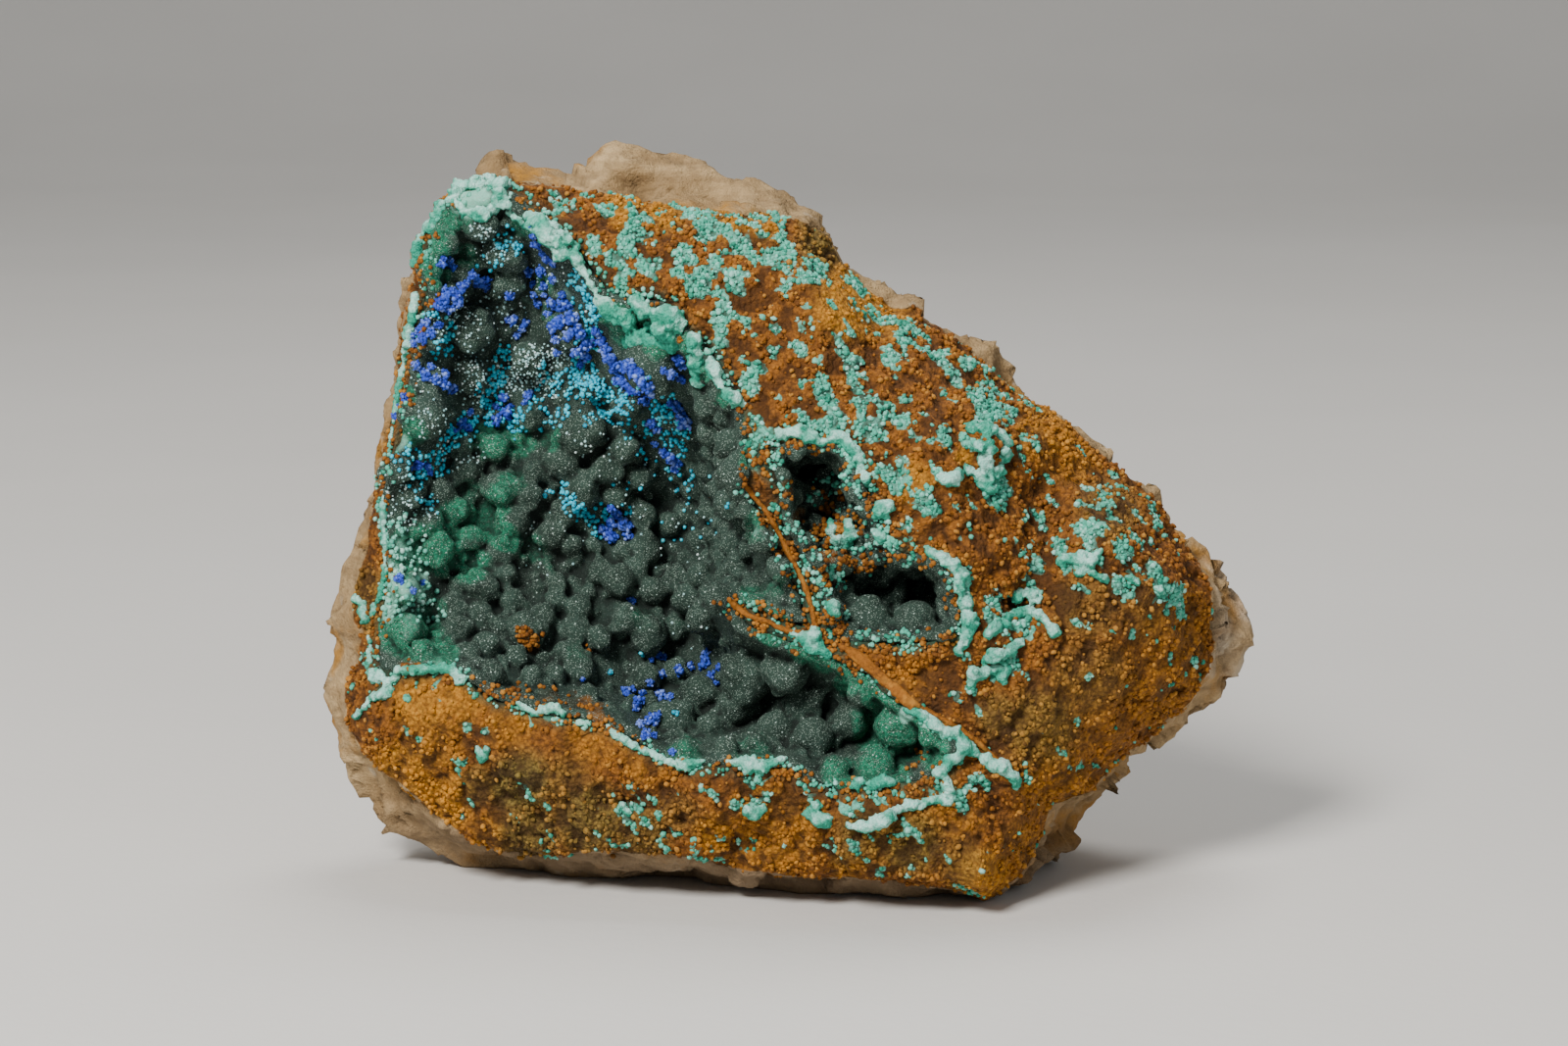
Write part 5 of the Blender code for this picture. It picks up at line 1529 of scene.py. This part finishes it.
@dataclass
class HostRock:
    """The tan rock and its limonite skin, finely meshed.

    Attributes:
        voxel: Size of the mesh's faces.
        most: Triangles that the piece may have.
        lining: Gap to a crust within which the rock counts as its wall.
        skin_depth: Depth in the view where the skin gives way to the rock behind.
        drift: How far the skin's edge wanders, in millimetres.
        grain: Spacing of the skin's grains.
        grain_height: Height of the grains.
        lump: Size of the skin's crumbly lumps.
        lump_height: Height of the lumps.
        clump_height: Height of the clumps that crumbs gather on.
        chip: Sizes of the chips on the broken rock.
        chip_tilt: How steep the chips are.
        layer: Thickness of the broken rock's layers, and height of their edges.
        ridge: Spacing and height of its ridges.
        pit: Size and depth of its pits.
        foot: Height over which all relief fades in above the flat foot.
        near: Reaches of the fine and the broad clefts that get painted shade, in vertex steps.
    """

    voxel: float = 0.42 * MM
    most: int = 172000
    lining: float = 1.5 * MM
    skin_depth: float = -13.0 * MM
    drift: float = 1.2
    grain: float = 0.72 * MM
    grain_height: float = 0.3 * MM
    lump: float = 3.6 * MM
    lump_height: float = 0.5 * MM
    clump_height: float = 0.55 * MM
    chip: tuple[float, ...] = (13.0 * MM, 6.0 * MM, 2.6 * MM)
    chip_tilt: float = 0.26
    layer: tuple[float, float] = (2.2 * MM, 0.17 * MM)
    ridge: tuple[float, float] = (3.4 * MM, 0.2 * MM)
    pit: tuple[float, float] = (1.6 * MM, 0.14 * MM)
    foot: float = 1.5 * MM
    near: tuple[int, int] = (6, 24)
    piece: Object = field(init=False)

    def skin_share(self, points: Array) -> Array:
        """Share of limonite at each place: one on the skin, zero on bare rock."""
        seen = VIEW.locate(points)
        drift = rough(points, 5.0 * MM, Salt.SKIN_EDGE) * self.drift * MM
        inward = inset(seen[:, :2], SKIN_OUTLINE) + drift / MM * 3.0
        near = ease(seen[:, 2] + drift, self.skin_depth - 2.0 * MM, self.skin_depth + 1.5 * MM)
        return ease(inward, -6.0, 5.0) * near

    def carve(self) -> None:
        """Crumble the skin and chip the bare rock."""
        points = coordinates(self.piece)
        skin = self.skin_share(points)
        calm = zone_share(VIEW.locate(points)[:, :2], SMOOTH_ZONES) * skin
        crumbly = skin * (1.0 - 0.75 * calm)
        gap, _ = pebbled(points, self.grain, Salt.SKIN_GRAINS)
        grains = np.sqrt(np.clip(1.0 - (gap / 0.75) ** 2, 0.0, 1.0)) - 0.6
        height = self.grain_height * grains * (0.35 * skin + 0.65 * crumbly)
        height += self.lump_height * rough(points, self.lump, Salt.SKIN_LUMPS) * crumbly
        height += self.clump_height * ease(clumped(points), -0.35, 0.25) * crumbly
        bare = 1.0 - skin
        for index, size in enumerate(self.chip):
            _, away = pebbled(points, size, Salt.CHIPS + 10 * index)
            lean = np.stack([wavy(points - away * size, size, Salt.CHIP_LEANS + k + 10 * index)
                             for k in range(3)], axis=1)
            height += self.chip_tilt * size * np.sum(away * lean, axis=1) * bare
        tilted = points @ np.array(((1.0, 0.0, 0.25), (0.0, 1.0, -0.2), (0.0, 0.0, 1.0)))
        drawn = tilted * np.array((0.22, 0.22, 1.0))
        layers = 1.0 - 2.0 * np.abs(wavy(drawn, self.layer[0], Salt.LAYERS))
        ridges = 1.0 - 2.0 * np.abs(wavy(points, self.ridge[0], Salt.RIDGES))
        height += (self.layer[1] * layers + self.ridge[1] * ridges
                   + self.pit[1] * rough(points, self.pit[0], Salt.PITS)) * bare
        raise_by(self.piece, height * ease(points[:, 2], 0.0, self.foot))

    def paint(self, crusts: Surface) -> None:
        """Give the mesh the shares that its finish reads."""
        obj = self.piece
        points = coordinates(obj)
        seen = VIEW.locate(points)
        skin = self.skin_share(points)
        cover = zone_share(seen[:, :2], TURQUOISE_ZONES)
        calm = zone_share(seen[:, :2], SMOOTH_ZONES)
        low = 1.0 - ease(points[:, 2], 2.0 * MM, 14.0 * MM)
        front = ease(seen[:, 2], -30.0 * MM, -10.0 * MM)
        right = ease(seen[:, 0], 1200.0, 1250.0) * front
        fine, broad = (hollowness(obj, reach) for reach in self.near)
        shares = {
            "skin": skin,
            "teal": ease(cover + streaked(points), *MAT_EDGE) * skin,
            # Painted shade: darker in the low gaps between the clumps of crumbs.
            "gap": ease(-clumped(points), -0.05, 0.35) * skin * (1.0 - calm),
            # Painted shade: the rock darker low on its front, near the floor.
            "painted_shade": 0.7 * low * front,
            "bleach": right * ease(rough(points, 6.0 * MM, Salt.BLEACH), -0.4, 0.5) * 0.8,
            "wall": 1.0 - ease(crusts.gaps(points), 0.5 * MM, 1.3 * MM),
            # Painted shade: darker in the clefts of the rock, more so on the limonite skin.
            "cleft_shade": np.maximum(fine * (0.5 + 0.5 * skin), broad * (0.3 + 0.4 * skin)),
        }
        for name, share in shares.items():
            set_attribute(obj, name, share)
        paint_zones(obj, wandering(points), ochre=OCHRE_ZONES, olive=OLIVE_ZONES)

    def build(self, crusts: Surface) -> None:
        """Mesh the rock, most finely where its skin is seen, and carve it."""
        self.piece = fine_copy("host_rock", "rock_with_limonite", self.voxel, 2)
        points = coordinates(self.piece)
        lined = crusts.gaps(points) < self.lining
        plain = np.where(lined, 1.0, 0.7 - 0.6 * self.skin_share(points))
        thin_hidden(self.piece, plain, self.most)
        self.carve()

    def dress(self, finish: RockFinish, crusts: Surface) -> None:
        """Paint and hand over the rock."""
        self.paint(crusts)
        mount(self.piece, finish, Slot.ROCK, "host_rock")


@dataclass
class LumpyCrust:
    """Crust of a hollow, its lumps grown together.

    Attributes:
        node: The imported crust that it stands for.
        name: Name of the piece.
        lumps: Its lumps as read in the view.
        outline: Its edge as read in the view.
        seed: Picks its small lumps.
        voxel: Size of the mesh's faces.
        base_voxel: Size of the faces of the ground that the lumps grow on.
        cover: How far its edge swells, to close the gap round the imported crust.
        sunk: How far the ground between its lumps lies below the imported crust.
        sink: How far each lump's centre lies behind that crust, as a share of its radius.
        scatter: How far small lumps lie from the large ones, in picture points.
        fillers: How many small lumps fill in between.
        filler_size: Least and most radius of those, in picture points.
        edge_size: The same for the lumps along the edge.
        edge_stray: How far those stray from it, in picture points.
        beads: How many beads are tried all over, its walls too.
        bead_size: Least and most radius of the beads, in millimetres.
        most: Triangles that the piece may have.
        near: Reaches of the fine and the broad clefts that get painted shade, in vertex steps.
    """

    node: str
    name: str
    lumps: tuple
    outline: tuple
    seed: int
    voxel: float = 0.3 * MM
    base_voxel: float = 0.5 * MM
    cover: float = 0.35 * MM
    sunk: float = 0.55 * MM
    sink: float = 0.3
    scatter: float = 16.0
    fillers: int = 460
    filler_size: tuple[float, float] = (3.5, 8.5)
    edge_size: tuple[float, float] = (3.0, 7.5)
    edge_stray: float = 3.5
    beads: int = 1500
    bead_size: tuple[float, float] = (0.3, 0.95)
    most: int = 160000
    near: tuple[int, int] = (10, 50)
    piece: Object = field(init=False)

    def balls(self, surface: Surface) -> list[Ball]:
        """Centres and radii of all lumps, large, budding and in between."""
        rng = np.random.default_rng(self.seed)
        back = Vector(-VIEW.toward)
        found = []
        for across, down, radius in self.lumps:
            met = surface.meet(across, down)
            if met is None:
                continue
            size = radius * VIEW.pitch
            steep = 1.0 + met[1].dot(back)
            centre = met[0] + back * size * self.sink + met[1] * size * 0.5 * steep
            found.append((centre, size))
            for _ in range(rng.integers(2, 6)):
                way = Vector(rng.normal(size=3)).normalized()
                if way.dot(back) > 0.2:
                    way = -way
                bud = size * rng.uniform(0.3, 0.55)
                found.append((centre + way * (size * 0.95 - bud * 0.3), bud))
        return (found + self.filler_balls(surface, rng) + self.edge_balls(surface, rng)
                + self.wall_beads(rng))

    def filler_balls(self, surface: Surface, rng: Random) -> list[Ball]:
        """Centres and radii of the small lumps between the large ones."""
        back = Vector(-VIEW.toward)
        spread = np.array([(a, d) for a, d, _ in self.lumps], float)
        found = []
        for _ in range(self.fillers):
            start = spread[rng.integers(len(spread))]
            met = surface.meet(*(start + rng.normal(size=2) * self.scatter))
            if met is not None:
                size = rng.uniform(*self.filler_size) * VIEW.pitch
                found.append((met[0] + back * size * rng.uniform(-0.1, 0.5), size))
        return found

    def edge_balls(self, surface: Surface, rng: Random) -> list[Ball]:
        """Centres and radii of the lumps that fray the crust's edge."""
        back = Vector(-VIEW.toward)
        rim = tuple((across, down, 7.0) for across, down in self.outline)
        found = []
        for across, down, _ in along_runs((rim,), 1.1):
            met = surface.meet(*(np.array((across, down))
                                 + rng.normal(size=2) * self.edge_stray))
            if met is None or rng.uniform() < 0.3:
                continue
            size = rng.uniform(*self.edge_size) * VIEW.pitch
            found.append((met[0] + back * size * rng.uniform(0.3, 0.8), size))
        return found

    def wall_beads(self, rng: Random) -> list[Ball]:
        """Centres and radii of small beads all over the crust's open side."""
        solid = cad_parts[self.node]
        points, faces = coordinates(solid), triangles(solid)
        places, outward = scatter(points, faces, np.ones(len(faces)), self.beads, rng)
        bare = self.hidden(places, outward) < 0.5
        sizes = rng.uniform(*self.bead_size, self.beads) * MM
        centres = places - outward * (sizes * rng.uniform(0.0, 0.6, self.beads))[:, None]
        return [(Vector(centre), size) for centre, size in zip(centres[bare], sizes[bare])]

    def build(self) -> Object:
        """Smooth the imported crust, swell it and grow the lumps on it."""
        surface = Surface(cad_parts[self.node])
        base = fine_copy(self.node, self.name, self.base_voxel, 6)
        walls = Surface(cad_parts["host_rock"]).gaps(coordinates(base))
        swell = self.cover - (self.cover + self.sunk) * ease(walls, 0.8 * MM, 2.4 * MM)
        raise_by(base, swell)
        self.piece = fused(self.name, self.balls(surface), self.voxel, base)
        finish_modifier(self.piece, "SMOOTH", factor=0.5, iterations=2)
        hidden = self.hidden(coordinates(self.piece), normals(self.piece))
        thin_hidden(self.piece, hidden, self.most)
        granulate(self.piece, (0.8, 2.0), (0.15, 0.08), self.seed)
        return self.piece

    @staticmethod
    def hidden(points: Array, outward: Array) -> Array:
        """One where a place lies against the rock, and zero where it is open to view."""
        rock = Surface(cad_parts["host_rock"]).tree
        reach = 3.0 * MM
        return np.array([rock.ray_cast(place, way, reach)[0] is not None
                         for place, way in zip(points.tolist(), outward.tolist())], float)

    def dress(self, finish: CrustFinish) -> None:
        """Paint and hand over the crust."""
        obj = self.piece
        paint_zones(obj, wandering(coordinates(obj)), emerald=EMERALD_ZONES, pale=PALE_ZONES,
                    rust=RUST_ZONES)
        fine, broad = (hollowness(obj, reach) for reach in self.near)
        # Painted shade: the crust's clefts, near black in its finish.
        set_attribute(obj, "cleft_shade", np.maximum(fine, 0.9 * broad))
        mount(obj, finish, Slot.CRUST, self.node)


@dataclass
class VelvetMass:
    """Balls along runs, grown together into a thick turquoise rim or growth.

    Attributes:
        name: Name of the piece.
        runs: The runs of balls as read in the view.
        seed: Picks the small buds.
        bloom: How pale it is, from 0 to 1.
        rise: How far each ball stands out, as a share of its radius.
        stray: How far each ball strays sideways, as a share of its radius.
        buds: How many buds a ball has.
        voxel: Size of the mesh's faces.
    """

    name: str
    runs: tuple
    seed: int
    bloom: float
    rise: float
    stray: float = 0.15
    buds: int = 7
    voxel: float = 0.25 * MM
    piece: Object = field(init=False)

    def build(self, surface: Surface) -> None:
        """Set the balls on what they grow on, bud them and fuse them."""
        rng = np.random.default_rng(self.seed)
        balls = []
        for across, down, radius in along_runs(self.runs, 0.7):
            across += rng.normal() * radius * self.stray
            down += rng.normal() * radius * self.stray
            met = surface.meet(across, down)
            if met is None:
                continue
            size = radius * VIEW.pitch * rng.uniform(0.5, 1.1)
            out = Vector(VIEW.toward) * 0.5 + met[1] * 0.5
            centre = met[0] + out.normalized() * size * self.rise
            balls.append((centre, size))
            for _ in range(self.buds):
                way = Vector(rng.normal(size=3)).normalized()
                bud = size * rng.uniform(0.25, 0.5)
                balls.append((centre + way * size * rng.uniform(0.85, 1.2), bud))
        self.piece = fused(self.name, balls, self.voxel)
        granulate(self.piece, (0.5, 1.6), (0.24, 0.12), self.seed)

    def dress(self, finish: VelvetFinish) -> None:
        """Paint and hand over the mass."""
        obj = self.piece
        points = coordinates(obj)
        # Painted light: the bloom is paler on sides that face up and to the front, and greener on
        # those that face away.
        lit_facing = normals(obj) @ (VIEW.up * 0.6 + VIEW.toward * 0.8)
        tone = self.bloom + 0.4 * lit_facing - 0.35 + 0.3 * rough(points, 2.2 * MM, Salt.BLOOM)
        green = zone_share(VIEW.locate(points)[:, :2], EMERALD_ZONES)
        set_attribute(obj, "bloom", tone - 0.5 * green)
        # Painted shade: the velvet's clefts.
        set_attribute(obj, "cleft_shade", hollowness(obj, 6))
        mount(obj, finish, Slot.CRUST)


@dataclass
class SkinGrains:
    """Grains strewn over the limonite skin, clear of the crusts and the floor."""

    rock: HostRock
    crusts: Surface
    seed: int
    tries: int = 60000
    clear: float = 0.45 * MM
    lowest: float = 0.9 * MM
    places: Array = field(init=False)
    outward: Array = field(init=False)
    spots: Array = field(init=False)

    def __post_init__(self) -> None:
        """Draw places evenly over the skin's area."""
        rng = np.random.default_rng(self.seed)
        points = coordinates(self.rock.piece)
        faces = triangles(self.rock.piece)
        skin = self.rock.skin_share(points[faces].mean(axis=1)) > 0.5
        places, outward = scatter(points, faces, skin, self.tries, rng)
        kept = (self.crusts.gaps(places) > self.clear) & (places[:, 2] > self.lowest)
        self.places = places[kept]
        self.outward = outward[kept]
        self.spots = VIEW.locate(self.places)[:, :2]

    def strew(self, name: str, keep: Array, sizes: tuple[float, float], most: int) -> Object:
        """Strew grains on the places that are kept.

        Args:
            name: Name of the piece.
            keep: Share of the places to keep, from 0 to 1, for each.
            sizes: Smallest and largest radius in metres.
            most: How many grains at most.

        Returns:
            The new object.
        """
        rng = np.random.default_rng(self.seed + len(name))
        mine = np.nonzero(rng.uniform(size=len(keep)) < keep)[0][:most]
        radius = rng.uniform(*sizes, len(mine))
        scale = radius[:, None] * rng.uniform(0.75, 1.25, (len(mine), 3))
        lift = radius * rng.uniform(-0.1, 0.75, len(mine))
        spots = self.places[mine] + self.outward[mine] * lift[:, None]
        obj = strew(name, ball_specks(4, 0.22, self.seed), spots, scale, rng)
        seen = VIEW.locate(coordinates(obj))[:, :2]
        paint_zones(obj, seen, ochre=OCHRE_ZONES, olive=OLIVE_ZONES)
        return obj


@dataclass
class CrystalBalls:
    """Blue crystal balls, each a core with blunt blades all over it."""

    seed: int = 71
    blades: int = 17
    swell: float = 1.2
    core: float = 0.72

    def build(self, surface: Surface, finish: GrainFinish) -> None:
        """Set the balls on the crust and fill them with blades."""
        rng = np.random.default_rng(self.seed)
        places, sizes = [], []
        for across, down, radius in AZURITE_BALLS:
            met = surface.meet(across, down)
            if met is None:
                continue
            size = radius * VIEW.pitch * self.swell
            centre = np.array(met[0] + met[1] * size * 0.25)
            places.append(centre)
            sizes.append([size * self.core] * 3)
            for _ in range(self.blades):
                way = rng.normal(size=3)
                way /= np.linalg.norm(way)
                if way @ np.array(met[1]) < -0.4:
                    way = -way
                places.append(centre + way * size * rng.uniform(0.6, 0.85))
                blade = size * rng.uniform(0.22, 0.36)
                sizes.append([blade, blade * rng.uniform(0.5, 1.0), blade * 1.3])
        specks = ball_specks(3, 0.25, self.seed)
        obj = strew("azurite_balls", specks, np.array(places), np.array(sizes), rng)
        mount(obj, finish, Slot.CRUST)


@dataclass
class SmallGrains:
    """Small grains strewn in zones of the hollow, their sizes in picture points."""

    name: str
    zones: tuple
    sizes: tuple[float, float]
    seed: int
    clumps: tuple[float, float] = (-math.inf, math.inf)

    def build(self, surface: Surface, finish: Finish) -> None:
        """Draw the places, set the grains on the crust and dress them."""
        rng = np.random.default_rng(self.seed)
        places, sizes = [], []
        for across, down, wide, high, count in self.zones:
            for _ in range(count):
                turn = rng.uniform(0.0, math.tau)
                reach = math.sqrt(rng.uniform()) * rng.uniform(0.7, 1.35)
                met = surface.meet(across + wide * reach * math.cos(turn),
                                   down + high * reach * math.sin(turn))
                if met is None:
                    continue
                size = rng.uniform(*self.sizes) * VIEW.pitch
                places.append(np.array(met[0] + met[1] * size * 0.35))
                sizes.append(size)
        noise = clumped(np.array(places))
        kept = (noise > self.clumps[0]) & (noise < self.clumps[1])
        specks = ball_specks(3, 0.16, self.seed)
        obj = strew(self.name, specks, np.array(places)[kept], np.array(sizes)[kept], rng)
        mount(obj, finish, Slot.CRUST)


@dataclass
class Fins:
    """Thin walls of limonite that part the hollows."""

    seed: int = 91
    radius: float = 2.3
    rows: int = 4
    row_gap: float = 0.28
    voxel: float = 0.24 * MM

    def build(self, surface: Surface, finish: LimoniteFinish) -> None:
        """Stack crumbs along each crest, fuse them and dress them."""
        rng = np.random.default_rng(self.seed)
        balls = []
        toward = Vector(VIEW.toward)
        crests = tuple(tuple((a, d, self.radius) for a, d in run) for run in FIN_RUNS)
        for across, down, _ in along_runs(crests, 0.6):
            met = surface.meet(across, down)
            if met is None:
                continue
            for row in range(self.rows):
                size = self.radius * VIEW.pitch * rng.uniform(0.8, 1.35)
                spot = met[0] + toward * (row - 1.5) * self.row_gap * MM
                balls.append((spot + Vector(rng.normal(size=3)) * 0.06 * MM, size))
        obj = fused("limonite_fins", balls, self.voxel)
        points = coordinates(obj)
        raise_by(obj, 0.08 * MM * rough(points, 0.8 * MM, self.seed))
        set_attribute(obj, "tone", 0.55 + 0.35 * rough(points, 1.2 * MM, Salt.FIN_TONE))
        mount(obj, finish, Slot.ROCK)


@dataclass(frozen=True)
class Lamp:
    """Soft square lamp: its place and width in metres, its power in watts, its colour."""

    name: str
    place: tuple[float, float, float]
    size: float
    power: float
    colour: tuple[float, float, float]

    def hang(self, target: tuple[float, float, float]) -> None:
        """Hang the lamp and turn it to a target."""
        light = bpy.data.lights.new(self.name, "AREA")
        light.size = self.size
        light.energy = self.power
        light.color = self.colour
        obj = bpy.data.objects.new(self.name, light)
        bpy.context.scene.collection.objects.link(obj)
        obj.location = self.place
        aim = Vector(target) - Vector(self.place)
        obj.rotation_euler = aim.to_track_quat("-Z", "Y").to_euler()


@dataclass
class Studio:
    """Pale floor that sweeps up behind the specimen, soft light and the camera."""

    floor_size: float = 2.4
    floor_cuts: int = 60
    rise_at: float = 0.9
    rise_radius: float = 0.6
    target: tuple[float, float, float] = (0.0, -0.005, 0.045)
    lamps: tuple[Lamp, ...] = (
        Lamp("key", (-0.32, -0.60, 0.62), 0.24, 12.5, (1.0, 0.97, 0.93)),
        Lamp("fill", (0.75, -0.70, 0.45), 0.8, 1.6, (0.93, 0.97, 1.0)),
        Lamp("top", (0.1, 0.35, 0.95), 0.5, 5.0, (1.0, 0.98, 0.95)),
    )
    room: tuple[float, float, float, float] = (0.86, 0.89, 0.93, 1.0)
    room_light: float = 0.2

    def floor(self, effects: SharedEffects) -> None:
        """Model the sweep and dress it."""
        bpy.ops.object.select_all(action="DESELECT")
        bpy.ops.mesh.primitive_plane_add(size=2 * self.floor_size)
        obj = bpy.context.object
        obj.name = "floor_sweep"
        bpy.ops.object.mode_set(mode="EDIT")
        bpy.ops.mesh.select_all(action="SELECT")
        bpy.ops.mesh.subdivide(number_cuts=self.floor_cuts)
        bpy.ops.object.mode_set(mode="OBJECT")
        points = coordinates(obj)
        past = np.maximum(points[:, 1] - self.rise_at, 0.0)
        turn = np.minimum(past / self.rise_radius, math.pi / 2)
        rest = past - turn * self.rise_radius
        points[:, 1] = np.minimum(points[:, 1], self.rise_at) + self.rise_radius * np.sin(turn)
        points[:, 2] = self.rise_radius * (1.0 - np.cos(turn)) + rest
        set_coordinates(obj, points)
        FloorFinish(effects).dress(obj)

    def lights(self) -> None:
        """Hang the lamps and set the room's light."""
        for lamp in self.lamps:
            lamp.hang(self.target)
        world = bpy.data.worlds.new("room")
        bpy.context.scene.world = world
        world.use_nodes = True
        background = world.node_tree.nodes["Background"]
        background.inputs["Color"].default_value = self.room
        background.inputs["Strength"].default_value = self.room_light

    @staticmethod
    def camera() -> None:
        """Stand the camera where the front view is seen from."""
        lens = bpy.data.cameras.new("front")
        lens.sensor_width = VIEW.sensor
        lens.lens = VIEW.sensor * VIEW.sight / (VIEW.width * VIEW.pitch)
        lens.clip_start = 0.01
        obj = bpy.data.objects.new("front", lens)
        bpy.context.scene.collection.objects.link(obj)
        obj.location = VIEW.eye
        obj.rotation_euler = (math.pi / 2 - VIEW.lean, 0.0, 0.0)
        bpy.context.scene.camera = obj


def strew_skin(rock: HostRock, crusts: Surface, limonite: Finish, turquoise: Finish) -> None:
    """Strew crumbs and turquoise mats over the limonite skin.

    Args:
        rock: The finished rock.
        crusts: The crusts, which stay clear of the grains.
        limonite: Finish of the crumbs.
        turquoise: Finish of the mats.
    """
    grains = SkinGrains(rock, crusts, 31)
    cover = zone_share(grains.spots, TURQUOISE_ZONES)
    matted = ease(cover + streaked(grains.places), *MAT_EDGE)
    calm = zone_share(grains.spots, SMOOTH_ZONES)
    gathered = 0.15 + ease(clumped(grains.places), -0.2, 0.3)
    open_skin = (1.0 - matted) * (1.0 - 0.7 * calm) * gathered * 0.42
    crumbs = grains.strew("limonite_crumbs", open_skin, (0.16 * MM, 0.42 * MM), 8200)
    mount(crumbs, limonite, Slot.ROCK)
    mats = grains.strew("turquoise_mats", matted, (0.15 * MM, 0.4 * MM), 5600)
    mount(mats, turquoise, Slot.CRUST)


def strew_hollows(surface: Surface, effects: SharedEffects, limonite: Finish,
                  turquoise: Finish) -> None:
    """Strew the grains and the crystal balls of the hollows and their edges.

    Args:
        surface: What they grow on.
        effects: Shared effects of their finishes.
        limonite: Finish of the crumbs along the edges.
        turquoise: Finish of the turquoise along the edges.
    """
    edges = (edge_zones(VUG_OUTLINE, 9.0, 9) + edge_zones(SIDE_OUTLINE, 12.0, 26)
             + SIDE_GROWTH_ZONES)
    rusty = tuple((across, down, reach, reach * 0.8, round(reach * reach * share * 0.3))
                  for across, down, reach, share in RUST_ZONES)
    SmallGrains("edge_crumbs", edges + rusty, (1.4, 3.4), 84, (0.05, math.inf)).build(
        surface, limonite)
    SmallGrains("edge_turquoise", edges, (1.3, 3.2), 85, (-math.inf, -0.12)).build(
        surface, turquoise)
    CrystalBalls().build(surface, GrainFinish(effects, AZURITE_TONES))
    for tones, zones, sizes, seed in (
            (CYAN_TONES, CYAN_ZONES, (1.6, 2.9), 81),
            (FROST_TONES, FROST_ZONES, (0.8, 1.7), 82),
            (BEAD_TONES, BEAD_ZONES, (1.6, 3.4), 83)):
        SmallGrains(tones.name, zones, sizes, seed).build(surface, GrainFinish(effects, tones))


def main() -> None:
    """Build the rock, the crusts and all that grows on them, then the studio."""
    logging.basicConfig(level=logging.INFO, format="%(message)s")
    effects = SharedEffects()
    crust_finish = CrustFinish(effects)
    velvet_finish = VelvetFinish(effects)
    limonite_finish = LimoniteFinish(effects)
    turquoise_finish = GrainFinish(effects, TURQUOISE_TONES)

    vug = LumpyCrust("vug_crust", "main_crust", VUG_LUMPS, VUG_OUTLINE, 11)
    side = LumpyCrust("side_vug_crust", "side_crust", SIDE_LUMPS, SIDE_OUTLINE, 12,
                      scatter=13.0, fillers=160, beads=600, most=45000)
    crusts = Surface(vug.build(), side.build())
    rock = HostRock()
    rock.build(crusts)
    rock.dress(RockFinish(effects), crusts)
    vug.dress(crust_finish)
    side.dress(crust_finish)

    everything = Surface(rock.piece, vug.piece, side.piece)
    for mass in (VelvetMass("turquoise_rim", RIM_RUNS, 21, 0.62, 0.3),
                 VelvetMass("turquoise_growths", GROWTH_RUNS, 22, 0.5, 0.45)):
        mass.build(everything)
        mass.dress(velvet_finish)
    Fins().build(everything, limonite_finish)
    strew_skin(rock, crusts, limonite_finish, turquoise_finish)
    strew_hollows(everything, effects, limonite_finish, turquoise_finish)

    studio = Studio()
    studio.floor(effects)
    studio.lights()
    studio.camera()


if __name__ == "__main__":
    main()
